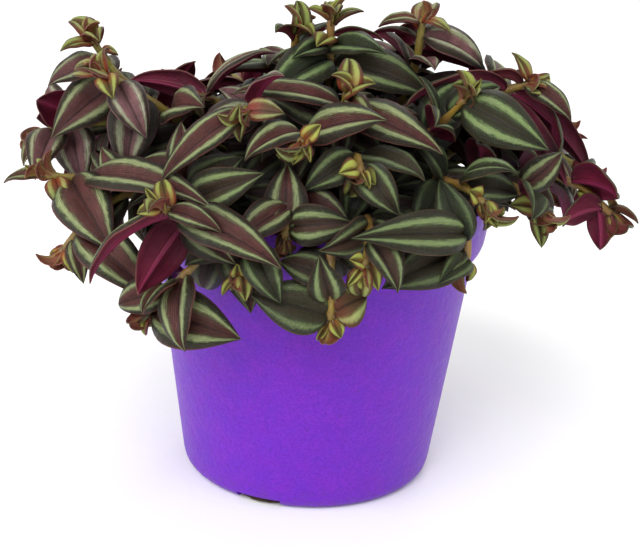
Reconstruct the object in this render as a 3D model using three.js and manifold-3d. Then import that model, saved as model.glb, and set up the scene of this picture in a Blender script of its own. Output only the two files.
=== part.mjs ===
// A silver inch plant (tradescantia) in a round plastic nursery pot: the pot, the potting soil
// and one leafy stem for each shoot, which stands in its own hole in the soil.
// Millimetres, +Z up. The origin is on the ground under the middle of the pot, and -Y is the front.
import * as THREE from "three";
import { mergeVertices } from "three/addons/utils/BufferGeometryUtils.js";
import Module from "manifold-3d";

const wasm = await Module();
wasm.setup();

// Pot: a tapered cup with a flat floor, and a collar round its mouth
const potHeight = 102;
const footRadius = 43.2; // the wall's outside carried down to the ground
const wallTaper = 0.1385; // outward, for each millimetre up
const wallThickness = 1.3;
const collarRadius = 60;
const collarHeight = 20;
const collarTurn = 4; // height of the rounded step from the wall out to the collar
const footEdge = 5; // radius of the rounded edge between the wall and the ground
const floorThickness = 2;
const potSides = 36;

// Drainage: slots in the foot that run on through the edge of the floor
const slotCount = 3;
const slotWidth = 16;
const slotHeight = 3;
const slotLength = 14;
const slotTurn = THREE.MathUtils.degToRad(249); // the slot seen from the front, left of the middle

// Soil: it fills the pot to a little under the mouth, with a low crown and shallow lumps
const soilHeight = 90;
const soilCrown = 3;
const soilGap = 0.55; // to the pot, at the corners of its flat sides
const soilLump = 1.1;
const soilSides = 24;
const soilRings = 3;
const holeDepth = 11;
const holeGap = 0.8;

// Stems
const stemRadius = 1.6;
const stemSides = 5;
const stemSteps = 6;
const stemSunk = holeDepth - 0.4; // how far a stem stands down in its hole
const stemRise = 22; // a stem leaves the soil upright, with a handle of this length
const bareFoot = 25; // no leaf is joined lower on a stem than this

// Leaves
const bladeThickness = 0.7;
const widest = 0.36; // where a blade is widest, as a share of its length
const roundness = 0.62; // of the outline at its base
const walkStep = 1 / 400; // of a stem's own parameter, for measuring back from its tip
const baseOffset = 0.7; // a leaf starts this far from the stem's axis, inside the stem
const droop = 0.18; // how far a leaf's chord sags, as a share of its length, and how much that varies
const droopVariation = 0.15;
const lengthVariation = 0.1; // shares of a leaf's own measures
const widthVariation = 0.06;
const archVariation = 0.3;
const tries = 60; // poses tried for a leaf before it is left out
const wildTry = 36; // the try from which a leaf strays furthest
const wildShrink = 0.18; // and how much smaller it has become by then
const probeThickness = 2.4; // a leaf keeps this much room from the other stems
const probeMargin = 0.6; // round its edge too
const ownProbeThickness = 1.0; // and this much from the leaves of its own stem
const probeFrom = 0.08; // shares of a blade's length that are left free at its base
const ownProbeFrom = 0.25;
const overlapVolume = 1e-3;
const domeMiddle = 64; // leaves face away from this height on the pot's axis

// Ranks of leaf, counted from the growing tip: how far back it is joined, its length and width,
// the swing away from the stem, the arch and the fold along the midrib in degrees, and the
// number of sections that the blade is built with
const ranks = [
  { back: 0, length: 7, width: 4.5, swing: 26, arch: 60, fold: 50, sections: 2 },
  { back: 4, length: 14, width: 9.0, swing: 42, arch: 60, fold: 34, sections: 2 },
  { back: 10, length: 20, width: 13.0, swing: 52, arch: 50, fold: 24, sections: 3 },
  { back: 18, length: 26, width: 16.5, swing: 56, arch: 44, fold: 18, sections: 3 },
  { back: 28, length: 28, width: 18.0, swing: 58, arch: 40, fold: 16, sections: 3 },
  { back: 39, length: 28, width: 18.0, swing: 60, arch: 40, fold: 16, sections: 3 },
  { back: 51, length: 26, width: 17.0, swing: 62, arch: 40, fold: 16, sections: 3 },
];

// How far a leaf strays from its natural place, in degrees: on its first try and on its last ones
const strays = {
  roll: [14, 75], // round the stem
  swing: [12, 40], // away from the stem
  twist: [14, 45], // round its own chord
  ownAim: [0, 25], // the same for a leaf with a place of its own
  ownLean: [0, 45],
};

// Leaves with a place of their own
const ownArch = 42;
const ownFold = 20;
const ownGap = 5; // from the last of them to the first that follows the ranks
const middlingWidth = 12.2; // a leaf wider than this has 3 sections
const largeWidth = 17.7; // and one wider than this has 4

// Sections of a blade, as shares of its length from the base
const stations = {
  2: [0, 0.4, 1],
  3: [0, 0.22, 0.58, 1],
  4: [0, 0.14, 0.4, 0.72, 1],
};

// Stems: where each stands in the soil, the control point its curve bends towards, its growing
// tip, and the side (0 or 1) of its last leaf. Leaves with a place of their own are listed by how
// far back from the tip they are joined, where their tip is, their width, and how far their face
// leans from straight up towards the front, in degrees.
const stems = [
  {
    name: "left_top",
    root: [-20, 12],
    bend: [-68, -2, 124],
    tip: [-76, -5, 149],
    side: 0,
    leaves: [
      { back: 2, tip: [-85, -10, 146], width: 7.5, lean: 20 },
      { back: 5, tip: [-68, -2, 143], width: 6.5, lean: 10 },
      { back: 9, tip: [-89, -12, 135], width: 13.5, lean: 30 },
      { back: 17, tip: [-86.5, -22, 120], width: 19, lean: 60 },
    ],
  },
  {
    name: "left_high",
    root: [-24, -8],
    bend: [-56, -20, 134],
    tip: [-71, -25, 143],
    side: 1,
    leaves: [
      { back: 3, tip: [-65, -32, 136], width: 8.5, lean: 60 },
      { back: 5, tip: [-77, -28, 145], width: 8.5, lean: 20 },
      { back: 8, tip: [-54, -34, 124], width: 13.5, lean: 60 },
      { back: 16, tip: [-61, -31, 111.5], width: 17, lean: 75 },
    ],
  },
  {
    name: "left_mid",
    root: [-30, 2],
    bend: [-74, -4, 129],
    tip: [-94, -9, 117],
    side: 0,
    leaves: [
      { back: 2, tip: [-97, -18, 109], width: 6.5, lean: 10 },
      { back: 6, tip: [-90.5, -31, 108.5], width: 15, lean: 60 },
      { back: 12, tip: [-77.5, -21, 104], width: 16.5, lean: 62 },
    ],
  },
  {
    name: "left_far",
    root: [-34, -12],
    bend: [-70, -34, 106],
    tip: [-87, -36, 111],
    side: 1,
    leaves: [
      { back: 1, tip: [-100, -34, 108], width: 7.5, lean: 20 },
      { back: 4, tip: [-79, -42, 102], width: 8.5, lean: 50 },
      { back: 9, tip: [-62, -55, 93.5], width: 21, lean: 65 },
      { back: 14, tip: [-30, -72, 115], width: 16, lean: 38 },
    ],
  },
  {
    name: "left_low",
    root: [-36, -22],
    bend: [-66, -44, 114],
    tip: [-79, -45, 89],
    side: 0,
    leaves: [
      { back: 1, tip: [-76, -48, 83], width: 5.5, lean: 30 },
      { back: 5, tip: [-72, -52, 81], width: 8.5, lean: 50 },
      { back: 8, tip: [-48, -60, 79], width: 17, lean: 50 },
    ],
  },
  {
    name: "front_arch",
    root: [-22, -27],
    bend: [-42, -70, 101],
    tip: [-45, -72, 113],
    side: 1,
    leaves: [
      { back: 1, tip: [-52, -72, 111], width: 6.5, lean: 40 },
      { back: 3, tip: [-27, -78, 108], width: 8.5, lean: 40 },
      { back: 6, tip: [-67, -74, 90], width: 16, lean: -15 },
      { back: 9, tip: [-9, -84, 100], width: 16.5, lean: 45 },
      { back: 16, tip: [-52, -76, 87], width: 16, lean: -80 },
    ],
  },
  {
    name: "left_hang",
    root: [-15, -36],
    bend: [-22, -76, 112],
    tip: [-50, -64, 76.5],
    side: 0,
    leaves: [
      { back: 1, tip: [-39, -66, 74], width: 8.5, lean: 40 },
      { back: 2, tip: [-21, -73, 73.5], width: 21, lean: 62 },
    ],
  },
  {
    name: "front_curl",
    root: [-8, -41],
    bend: [-16, -72, 112],
    tip: [-22, -75, 93],
    side: 1,
    leaves: [
      { back: 1, tip: [-22, -76, 98], width: 5.5, lean: 60 },
      { back: 2, tip: [-20, -78, 87], width: 6.5, lean: 45 },
    ],
  },
  {
    name: "front_hang",
    root: [4, -38],
    bend: [5, -82, 118],
    tip: [6, -74, 80],
    side: 0,
    leaves: [
      { back: 1, tip: [9, -76, 76], width: 5.5, lean: 40 },
      { back: 2, tip: [-18, -76, 89], width: 18, lean: 65 },
      { back: 3, tip: [16, -71, 88], width: 15, lean: 60 },
      { back: 8, tip: [2, -82, 104], width: 13, lean: 85 },
      { back: 14, tip: [-11, -70, 97], width: 12, lean: 65 },
    ],
  },
  {
    name: "front_right",
    root: [15, -40],
    bend: [18, -72, 110],
    tip: [15, -78, 99],
    side: 1,
    leaves: [
      { back: 1, tip: [11, -80, 102], width: 6.5, lean: 40 },
      { back: 3, tip: [19, -80, 93], width: 6.5, lean: 40 },
    ],
  },
  {
    name: "right_low",
    root: [28, -32],
    bend: [54, -60, 110],
    tip: [47, -58, 96],
    side: 0,
    leaves: [
      { back: 1, tip: [38, -70, 92.5], width: 10, lean: 60 },
      { back: 4, tip: [21.5, -67, 89], width: 18, lean: 62 },
      { back: 6, tip: [38, -50, 120], width: 13.5, lean: 85 },
      { back: 9, tip: [11.5, -80, 109], width: 15.5, lean: 65 },
    ],
  },
  {
    name: "front_mid",
    root: [8, -27],
    bend: [12, -46, 134],
    tip: [13, -60, 123],
    side: 1,
    leaves: [
      { back: 1, tip: [17, -62, 120], width: 7.5, lean: 60 },
      { back: 2, tip: [7, -62, 123], width: 7.5, lean: 60 },
      { back: 4, tip: [25, -66, 112], width: 13.5, lean: 80 },
    ],
  },
  {
    name: "front_inner",
    root: [-4, -20],
    bend: [-5, -50, 140],
    tip: [-5, -62, 132],
    side: 0,
    leaves: [
      { back: 1, tip: [0, -60, 137], width: 6.5, lean: 60 },
      { back: 2, tip: [-7, -64, 126], width: 7.5, lean: 60 },
    ],
  },
  {
    name: "front_low",
    root: [-5, -33],
    bend: [-7, -68, 122],
    tip: [-9, -66, 103],
    side: 0,
    leaves: [
      { back: 2, tip: [-9, -56, 124], width: 15, lean: 85 },
      { back: 4, tip: [11, -68, 110], width: 13, lean: 70 },
    ],
  },
  {
    name: "left_inner",
    root: [-12, -12],
    bend: [-18, -40, 146],
    tip: [-23, -55, 139],
    side: 1,
    leaves: [
      { back: 1, tip: [-11, -55, 139], width: 8.5, lean: 50 },
      { back: 3, tip: [-47, -62, 118], width: 11.5, lean: 40 },
    ],
  },
  {
    name: "left_front",
    root: [-26, -23],
    bend: [-44, -50, 122],
    tip: [-38, -58, 110],
    side: 0,
    leaves: [
      { back: 2, tip: [-16, -66, 123], width: 14, lean: 70 },
      { back: 5, tip: [-23, -56, 125], width: 13.5, lean: 60 },
    ],
  },
  {
    name: "high_front",
    root: [4, -8],
    bend: [5, -30, 128],
    tip: [8, -40, 143],
    side: 0,
    leaves: [
      { back: 2, tip: [16, -46, 134], width: 8.5, lean: 60 },
      { back: 9, tip: [39, -50, 129], width: 16, lean: 45 },
      { back: 7, tip: [-30, -44, 136], width: 12.5, lean: 30 },
      { back: 13, tip: [11, -47, 115], width: 14.5, lean: 80 },
      { back: 15, tip: [21.5, -38, 121.5], width: 13.5, lean: 75 },
    ],
  },
  {
    name: "crown",
    root: [1, 3],
    bend: [3, -6, 130],
    tip: [2, -5, 160],
    side: 1,
    leaves: [
      { back: 1, tip: [-5, -8, 163], width: 6.5, lean: 20 },
      { back: 3, tip: [12, -3, 162], width: 7.5, lean: 0 },
      { back: 6, tip: [19, -6, 153.5], width: 8, lean: -25 },
      { back: 7, tip: [-2, -13, 151.5], width: 9, lean: 35 },
      { back: 10, tip: [19.5, -21, 152], width: 11.5, lean: 45 },
      { back: 10, tip: [-9.5, -16, 148], width: 9, lean: 40 },
      { back: 14, tip: [-17, -22, 136], width: 18, lean: 50 },
      { back: 16, tip: [36, -9, 135.5], width: 19.5, lean: 42 },
    ],
  },
  {
    name: "crown_left",
    root: [-8, 11],
    bend: [-14, 8, 130],
    tip: [-9, 2, 154],
    side: 0,
  },
  {
    name: "high_right",
    root: [13, 5],
    bend: [33, 1, 125],
    tip: [32, 0, 160],
    side: 1,
    leaves: [
      { back: 1, tip: [41, -5, 156], width: 6.5, lean: 20 },
      { back: 2, tip: [18, -2, 157], width: 10.5, lean: 10 },
      { back: 6, tip: [53.5, 2, 143], width: 15, lean: 32 },
      { back: 7, tip: [16, 4, 153.5], width: 5.5, lean: 0 },
      { back: 10, tip: [56, 10, 139], width: 13.5, lean: -50 },
    ],
  },
  {
    name: "right_top",
    root: [21, 0],
    bend: [52, -2, 138],
    tip: [69, -5, 141],
    side: 0,
    leaves: [
      { back: 1, tip: [62, -3, 150], width: 6.5, lean: 20 },
      { back: 2, tip: [82, -14, 131.5], width: 11.5, lean: 30 },
      { back: 3, tip: [53, -5, 142], width: 10.5, lean: -20 },
      { back: 8, tip: [92, -5, 110.5], width: 14, lean: -45 },
      { back: 8, tip: [26, -25, 137], width: 15, lean: -45 },
      { back: 12, tip: [81, -27, 112.5], width: 11, lean: -75 },
    ],
  },
  {
    name: "right_mid",
    root: [29, -2],
    bend: [70, 8, 132],
    tip: [82, 12, 125],
    side: 1,
  },
  {
    name: "right_face",
    root: [17, -15],
    bend: [38, -30, 128],
    tip: [45, -36, 142],
    side: 0,
    leaves: [
      { back: 2, tip: [70, -48, 130], width: 18.5, lean: 72 },
    ],
  },
  {
    name: "right_small",
    root: [26, -20],
    bend: [44, -42, 122],
    tip: [52, -51, 112],
    side: 1,
    leaves: [
      { back: 2, tip: [56, -54, 106], width: 7.5, lean: 50 },
      { back: 3, tip: [47, -50, 116], width: 8.5, lean: 50 },
    ],
  },
  {
    name: "right_under",
    root: [34, -12],
    bend: [62, -30, 122],
    tip: [71, -41, 107],
    side: 0,
    leaves: [
      { back: 2, tip: [72, -44, 97], width: 7.5, lean: 40 },
      { back: 3, tip: [61, -42, 110], width: 8.5, lean: 50 },
    ],
  },
  {
    name: "right_far",
    root: [38, 3],
    bend: [82, -16, 122],
    tip: [97, -22, 102],
    side: 1,
    leaves: [
      { back: 1, tip: [94, -20, 108], width: 7.5, lean: -20 },
      { back: 3, tip: [105, -24, 100], width: 8.5, lean: -20 },
      { back: 4, tip: [79, -32, 102], width: 13, lean: -72 },
      { back: 6, tip: [93, -30, 92], width: 11.5, lean: -50 },
      { back: 9, tip: [85, -18, 110], width: 11.5, lean: 20 },
    ],
  },
  {
    name: "left_bow",
    root: [-14, 0],
    bend: [-30, -8, 132],
    tip: [-38, -15, 134],
    side: 0,
    leaves: [
      { back: 1, tip: [-16, -12, 149], width: 11.5, lean: 0 },
      { back: 3, tip: [-63, -14, 138], width: 12, lean: -58 },
      { back: 6, tip: [-56, -11, 124], width: 12.5, lean: -50 },
    ],
  },
  { name: "back_hang", root: [2, 39], bend: [3, 74, 116], tip: [5, 76, 82], side: 1 },
  { name: "back_right", root: [22, 33], bend: [42, 62, 116], tip: [45, 76, 92], side: 0 },
  { name: "right_back", root: [37, 19], bend: [78, 38, 116], tip: [88, 46, 90], side: 1 },
  { name: "back_left", root: [-20, 35], bend: [-40, 66, 116], tip: [-42, 76, 86], side: 0 },
  { name: "left_back", root: [-37, 18], bend: [-78, 38, 116], tip: [-87, 44, 94], side: 1 },
  { name: "back_mid", root: [10, 26], bend: [14, 52, 132], tip: [18, 70, 120], side: 0 },
  { name: "back_mid_right", root: [25, 19], bend: [56, 40, 130], tip: [70, 52, 113], side: 1 },
  { name: "back_mid_left", root: [-8, 27], bend: [-18, 50, 132], tip: [-22, 69, 116], side: 0 },
  { name: "left_back_mid", root: [-24, 20], bend: [-52, 40, 128], tip: [-66, 50, 115], side: 1 },
  { name: "back_high_right", root: [12, 16], bend: [28, 28, 146], tip: [35, 36, 147], side: 0 },
  { name: "back_high_left", root: [-12, 20], bend: [-26, 34, 132], tip: [-34, 46, 128], side: 1 },
  { name: "right_back_low", root: [36, 11], bend: [78, 14, 124], tip: [91, 15, 107], side: 0 },
  { name: "left_back_low", root: [-37, 9], bend: [-76, 16, 122], tip: [-91, 18, 106], side: 1 },
];

const up = new THREE.Vector3(0, 0, 1);
const degrees = THREE.MathUtils.degToRad;

// A closed solid from a geometry: shared vertices merged, and faces that closed up dropped.
function solidFrom(geometry) {
  const bare = geometry.index ? geometry.toNonIndexed() : geometry.clone();
  for (const name of Object.keys(bare.attributes)) {
    if (name !== "position") bare.deleteAttribute(name);
  }
  const merged = mergeVertices(bare, 1e-4);
  const kept = [];
  const index = merged.index.array;
  for (let i = 0; i < index.length; i += 3) {
    const [a, b, c] = [index[i], index[i + 1], index[i + 2]];
    if (a !== b && b !== c && c !== a) kept.push(a, b, c);
  }
  return new wasm.Manifold(
    new wasm.Mesh({
      numProp: 3,
      vertProperties: merged.attributes.position.array,
      triVerts: new Uint32Array(kept),
    }),
  );
}

function geometryFrom(solid) {
  const mesh = solid.getMesh();
  const positions = new Float32Array(mesh.numVert * 3);
  for (let i = 0; i < mesh.numVert; i++) {
    const at = i * mesh.numProp;
    positions.set(mesh.vertProperties.subarray(at, at + 3), i * 3);
  }
  const geometry = new THREE.BufferGeometry();
  geometry.setAttribute("position", new THREE.BufferAttribute(positions, 3));
  geometry.setIndex(new THREE.BufferAttribute(mesh.triVerts, 1));
  const faceted = geometry.toNonIndexed();
  faceted.computeVertexNormals();
  return faceted;
}

// A lathe turns about +Y, so a profile of (radius, height) points is laid back to stand on +Z.
// The profile runs round the outside from the bottom of the axis to the top.
function turned(profile, sides) {
  const points = profile.map(([radius, height]) => new THREE.Vector2(radius, height));
  return new THREE.LatheGeometry(points, sides).rotateX(Math.PI / 2);
}

// A repeatable draw between -1 and 1 for four whole numbers.
function draw(a, b, c, d) {
  let h = Math.imul(a + 1, 0x9e3779b1) ^ Math.imul(b + 1, 0x85ebca6b);
  h ^= Math.imul(c + 1, 0xc2b2ae35) ^ Math.imul(d + 1, 0x27d4eb2f);
  h = Math.imul(h ^ (h >>> 15), 0x2c1b3c6d);
  h = Math.imul(h ^ (h >>> 12), 0x297a2d39);
  return ((h ^ (h >>> 15)) >>> 0) / 2 ** 31 - 1;
}

// The pot's inside, as far up as the soil needs it
const wallRadius = (height) => footRadius + wallTaper * height;
const collarFoot = potHeight - collarHeight;
const collarRadiusAt = (height) => collarRadius - wallTaper * (potHeight - height);
const innerFootRadius = wallRadius(floorThickness) - 2 * wallThickness;
const innerStep = collarFoot + 0.4 * collarTurn;
const innerStepRadius = wallRadius(collarFoot) - wallThickness;
const innerCollar = collarFoot + collarTurn;

function makePot() {
  const edgeMiddle = wallRadius(footEdge) - footEdge;
  const profile = [
    [0, 0],
    [edgeMiddle, 0],
    [edgeMiddle + 0.5 * footEdge, 0.14 * footEdge],
    [edgeMiddle + 0.86 * footEdge, 0.5 * footEdge],
    [wallRadius(footEdge), footEdge],
    [wallRadius(collarFoot), collarFoot],
    [collarRadiusAt(collarFoot) - 0.8, collarFoot + 0.3 * collarTurn],
    [collarRadiusAt(innerCollar), innerCollar],
    [collarRadius, potHeight],
    [collarRadius - wallThickness, potHeight],
    [collarRadiusAt(innerCollar) - wallThickness, innerCollar],
    [innerStepRadius, innerStep],
    [innerFootRadius, floorThickness],
    [0, floorThickness],
  ];
  let pot = solidFrom(turned(profile, potSides));
  for (let i = 0; i < slotCount; i++) {
    const slot = new THREE.BoxGeometry(slotLength, slotWidth, slotHeight * 2);
    slot.translate(wallRadius(0) - slotLength / 2 + wallThickness, 0, 0);
    slot.rotateZ(slotTurn + (i * 2 * Math.PI) / slotCount);
    pot = pot.subtract(solidFrom(slot));
  }
  return pot;
}

// The soil's surface: a low crown with lumps raised by a formula.
function soilSurface(x, y) {
  const share = Math.hypot(x, y) / collarRadius;
  const lumps = Math.sin(x * 0.31 + 1.3) * Math.cos(y * 0.27) + 0.6 * Math.sin(x * 0.17 - y * 0.36);
  return soilHeight + soilCrown * (1 - share * share) + soilLump * lumps * (1 - share ** 4);
}

function makeSoil() {
  const edge = collarRadiusAt(soilHeight) - wallThickness - soilGap;
  const profile = [
    [0, floorThickness + soilGap],
    [innerFootRadius - soilGap, floorThickness + soilGap],
    [innerStepRadius - soilGap, innerStep],
    [collarRadiusAt(innerCollar) - wallThickness - 2 * soilGap, innerCollar + soilGap],
  ];
  for (let ring = soilRings; ring >= 0; ring--) profile.push([(edge * ring) / soilRings, soilHeight]);
  const geometry = turned(profile, soilSides);
  const at = geometry.attributes.position;
  for (let i = 0; i < at.count; i++) {
    if (at.getZ(i) > soilHeight - 0.01) at.setZ(i, soilSurface(at.getX(i), at.getY(i)));
  }
  let soil = solidFrom(geometry);
  for (const stem of stems) {
    const [x, y] = stem.root;
    const radius = stemRadius + holeGap;
    const hole = new THREE.CylinderGeometry(radius, radius, holeDepth * 2, stemSides);
    hole.rotateX(Math.PI / 2).translate(x, y, soilSurface(x, y));
    soil = soil.subtract(solidFrom(hole));
  }
  return soil;
}

// A stem's centre line above the soil: a cubic curve that starts upright.
function stemCurve(stem) {
  const [x, y] = stem.root;
  const foot = new THREE.Vector3(x, y, soilSurface(x, y));
  const lift = foot.clone().addScaledVector(up, stemRise);
  const bend = new THREE.Vector3(...stem.bend);
  return new THREE.CubicBezierCurve3(foot, lift, bend, new THREE.Vector3(...stem.tip));
}

// The whole way of each stem, with the straight foot in its hole, and the line of short straight
// lengths that its tube has.
const ways = stems.map((stem) => {
  const curve = stemCurve(stem);
  const path = new THREE.CurvePath();
  path.add(new THREE.LineCurve3(curve.v0.clone().addScaledVector(up, -stemSunk), curve.v0));
  path.add(curve);
  return { curve, path, line: path.getSpacedPoints(stemSteps) };
});

function stemSolid(way) {
  const ring = new THREE.Shape();
  for (let i = 0; i < stemSides; i++) {
    const angle = (i * 2 * Math.PI) / stemSides;
    const corner = [stemRadius * Math.cos(angle), stemRadius * Math.sin(angle)];
    if (i) ring.lineTo(...corner);
    else ring.moveTo(...corner);
  }
  return solidFrom(new THREE.ExtrudeGeometry(ring, { steps: stemSteps, extrudePath: way.path }));
}

// The point of a line of straight lengths that is nearest to a given point.
function nearestOn(line, point) {
  const nearest = new THREE.Vector3();
  let least = Infinity;
  for (let i = 0; i + 1 < line.length; i++) {
    const length = new THREE.Line3(line[i], line[i + 1]);
    const here = length.closestPointToPoint(point, true, new THREE.Vector3());
    const distance = here.distanceTo(point);
    if (distance < least) {
      least = distance;
      nearest.copy(here);
    }
  }
  return nearest;
}

// The curve's parameter at a distance back from its tip.
function walkBack(curve, distance) {
  let here = 1;
  let walked = 0;
  let last = curve.getPoint(1);
  while (walked < distance && here > 0) {
    here -= walkStep;
    const next = curve.getPoint(here);
    walked += last.distanceTo(next);
    last = next;
  }
  return here;
}

// Half the blade's width at a share of its length, as a share of its greatest half width: round
// at the base, widest before the middle, and drawn out to a point.
function outline(share) {
  const lower = (share / widest) ** roundness;
  const upper = ((1 - share) / (1 - widest)) ** (roundness * (1 / widest - 1));
  return lower * upper;
}

// Every leaf of a stem, from its growing tip: first those with a place of their own, then as many
// of the ranks as the rest of the stem carries.
function leavesOf(stem, s) {
  const own = stem.leaves ?? [];
  const start = own.length ? own[own.length - 1].back + ownGap : 0;
  const reach = ways[s].curve.getLength() - bareFoot;
  const rest = ranks.filter((rank, r) => (r === 0 || rank.back >= start) && rank.back < reach);
  const named = own.map((leaf) => {
    const sections = 2 + (leaf.width > middlingWidth) + (leaf.width > largeWidth);
    return { ...leaf, arch: ownArch, fold: ownFold, sections };
  });
  return [...named, ...rest];
}

// A leaf's pose: its base, the direction and length of its chord, the way its face looks, and its
// width, arch and fold. Later tries stray further from the leaf's natural place.
function leafPose(stemIndex, leafIndex, leaf, attempt) {
  const stem = stems[stemIndex];
  const { curve, line } = ways[stemIndex];
  const where = walkBack(curve, leaf.back);
  const base = nearestOn(line, curve.getPoint(where));
  const wildness = Math.min(1, attempt / wildTry);
  const vary = ([first, last], salt) => {
    return (first + (last - first) * wildness) * draw(stemIndex, leafIndex, attempt, salt);
  };
  const along = curve.getTangent(where).normalize();
  const chord = new THREE.Vector3();
  const face = new THREE.Vector3();
  let length = 1 - wildShrink * wildness;
  if (leaf.tip) {
    chord.set(...leaf.tip).sub(base);
    length *= chord.length();
    const side = new THREE.Vector3().crossVectors(chord, up).normalize();
    chord.normalize().applyAxisAngle(side, degrees(vary(strays.ownAim, 1)));
    chord.applyAxisAngle(up, degrees(vary(strays.ownAim, 2)));
    const lean = degrees(leaf.lean + vary(strays.ownLean, 3));
    face.set(0, -Math.sin(lean), Math.cos(lean));
  } else {
    const light = new THREE.Vector3(base.x, base.y, base.z - domeMiddle).normalize();
    const hand = (leafIndex + stem.side) % 2 ? 1 : -1;
    const aside = new THREE.Vector3().crossVectors(along, light).normalize();
    aside.multiplyScalar(hand).applyAxisAngle(along, degrees(vary(strays.roll, 1)));
    const swing = degrees(leaf.swing + vary(strays.swing, 2));
    chord.copy(along).multiplyScalar(Math.cos(swing)).addScaledVector(aside, Math.sin(swing));
    const sag = droop + droopVariation * draw(stemIndex, leafIndex, attempt, 7);
    chord.addScaledVector(up, -sag).normalize();
    length *= leaf.length * (1 + lengthVariation * draw(stemIndex, leafIndex, 0, 4));
    face.copy(light);
  }
  const outward = chord.clone().addScaledVector(along, -chord.dot(along)).normalize();
  base.addScaledVector(outward, baseOffset);
  face.addScaledVector(chord, -face.dot(chord)).normalize();
  if (!leaf.tip) face.applyAxisAngle(chord, degrees(vary(strays.twist, 4)));
  const breadth = 1 + widthVariation * draw(stemIndex, leafIndex, 0, 5) - wildShrink * wildness;
  const arch = leaf.arch * (1 + archVariation * draw(stemIndex, leafIndex, attempt, 6));
  return {
    base,
    chord,
    face,
    length,
    width: leaf.width * breadth,
    arch: degrees(arch),
    fold: degrees(leaf.fold),
  };
}

// A point on the blade: "share" runs from the base to the tip and "across" from -1 to 1. The
// midrib is an arc over the leaf's chord.
function bladePoint(leaf, share, across) {
  const { base, chord, face, arch } = leaf;
  const half = arch / 2;
  const start = chord.clone().multiplyScalar(Math.cos(half)).addScaledVector(face, Math.sin(half));
  const top = face.clone().multiplyScalar(Math.cos(half)).addScaledVector(chord, -Math.sin(half));
  const side = new THREE.Vector3().crossVectors(start, top);
  const turn = arch * share;
  const radius = leaf.length / (2 * Math.sin(half));
  const normal = top.clone().multiplyScalar(Math.cos(turn)).addScaledVector(start, Math.sin(turn));
  const halfWidth = (outline(share) * leaf.width) / 2;
  const point = base.clone().addScaledVector(start, radius * Math.sin(turn));
  point.addScaledVector(top, -radius * (1 - Math.cos(turn)));
  point.addScaledVector(side, across * halfWidth * Math.cos(leaf.fold));
  point.addScaledVector(normal, Math.abs(across) * halfWidth * Math.sin(leaf.fold));
  return { point, normal };
}

// The blade as a closed solid: a sheet of sections laid on the leaf's form, given its thickness.
function bladeSolid(leaf, sections, thickness, from = 0) {
  const shares = stations[sections].map((share) => Math.max(share, from));
  const sheet = new THREE.PlaneGeometry(sections, 2, sections, 2);
  const at = sheet.attributes.position;
  const over = [];
  const under = [];
  for (let i = 0; i < at.count; i++) {
    const share = shares[Math.round(at.getX(i) + sections / 2)];
    const { point, normal } = bladePoint(leaf, share, -Math.round(at.getY(i)));
    over.push(point.clone().addScaledVector(normal, thickness / 2));
    under.push(point.clone().addScaledVector(normal, -thickness / 2));
  }
  const corners = [];
  const index = sheet.index.array;
  for (let i = 0; i < index.length; i += 3) {
    const [a, b, c] = [index[i], index[i + 1], index[i + 2]];
    corners.push(over[a], over[b], over[c]);
    corners.push(under[a], under[c], under[b]);
  }
  const row = sections + 1;
  const rim = [];
  for (let i = 0; i < sections; i++) rim.push(i);
  for (let i = 0; i < 2; i++) rim.push(i * row + sections);
  for (let i = sections; i > 0; i--) rim.push(2 * row + i);
  for (let i = 2; i > 0; i--) rim.push(i * row);
  rim.forEach((a, i) => {
    const b = rim[(i + 1) % rim.length];
    corners.push(over[a], over[b], under[b]);
    corners.push(over[a], under[b], under[a]);
  });
  return solidFrom(new THREE.BufferGeometry().setFromPoints(corners));
}

function boxesMeet(a, b) {
  return [0, 1, 2].every((i) => a.min[i] <= b.max[i] && b.min[i] <= a.max[i]);
}

// Whether a probe is clear of every placed piece that the test picks.
function isClear(probe, placed, picks) {
  const box = probe.boundingBox();
  return placed.every((other) => {
    if (!picks(other) || !boxesMeet(box, other.box)) return true;
    return probe.intersect(other.solid).volume() < overlapVolume;
  });
}

// The plant: all stems first, then leaves from the growing tips down, each in the first pose that
// is clear of what stands there already.
function growPlant(fixed) {
  const placed = [];
  const put = (owner, solid, isLeaf) => {
    placed.push({ owner, solid, isLeaf, box: solid.boundingBox() });
  };
  fixed.forEach((solid) => put(-1, solid, false));
  const shoots = ways.map((way) => [stemSolid(way)]);
  shoots.forEach(([tube], i) => put(i, tube, false));
  const plans = stems.map(leavesOf);
  const most = Math.max(...plans.map((plan) => plan.length));
  const grow = (leaf, s, k) => {
    for (let attempt = 0; attempt < tries; attempt++) {
      const pose = leafPose(s, k, leaf, attempt);
      const roomy = { ...pose, width: pose.width + 2 * probeMargin };
      const wide = bladeSolid(roomy, leaf.sections, probeThickness, probeFrom);
      if (!isClear(wide, placed, (other) => other.owner !== s)) continue;
      const near = bladeSolid(pose, leaf.sections, ownProbeThickness, ownProbeFrom);
      if (!isClear(near, placed, (other) => other.owner === s && other.isLeaf)) continue;
      const blade = bladeSolid(pose, leaf.sections, bladeThickness);
      put(s, blade, true);
      shoots[s].push(blade);
      return;
    }
  };
  for (const isOwn of [true, false]) {
    for (let k = 0; k < most; k++) {
      plans.forEach((plan, s) => {
        if (plan[k] && "tip" in plan[k] === isOwn) grow(plan[k], s, k);
      });
    }
  }
  return shoots.map((parts) => parts.reduce((whole, part) => whole.add(part)));
}

const materials = {
  pot: new THREE.MeshStandardMaterial({ color: 0x7a35c4, roughness: 0.45, metalness: 0 }),
  soil: new THREE.MeshStandardMaterial({ color: 0x2c1e16, roughness: 0.95, metalness: 0 }),
  shoot: new THREE.MeshStandardMaterial({ color: 0x566b46, roughness: 0.4, metalness: 0 }),
};

const plant = new THREE.Group();
function show(name, solid, material) {
  const mesh = new THREE.Mesh(geometryFrom(solid), material);
  mesh.name = name;
  plant.add(mesh);
}

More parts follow.
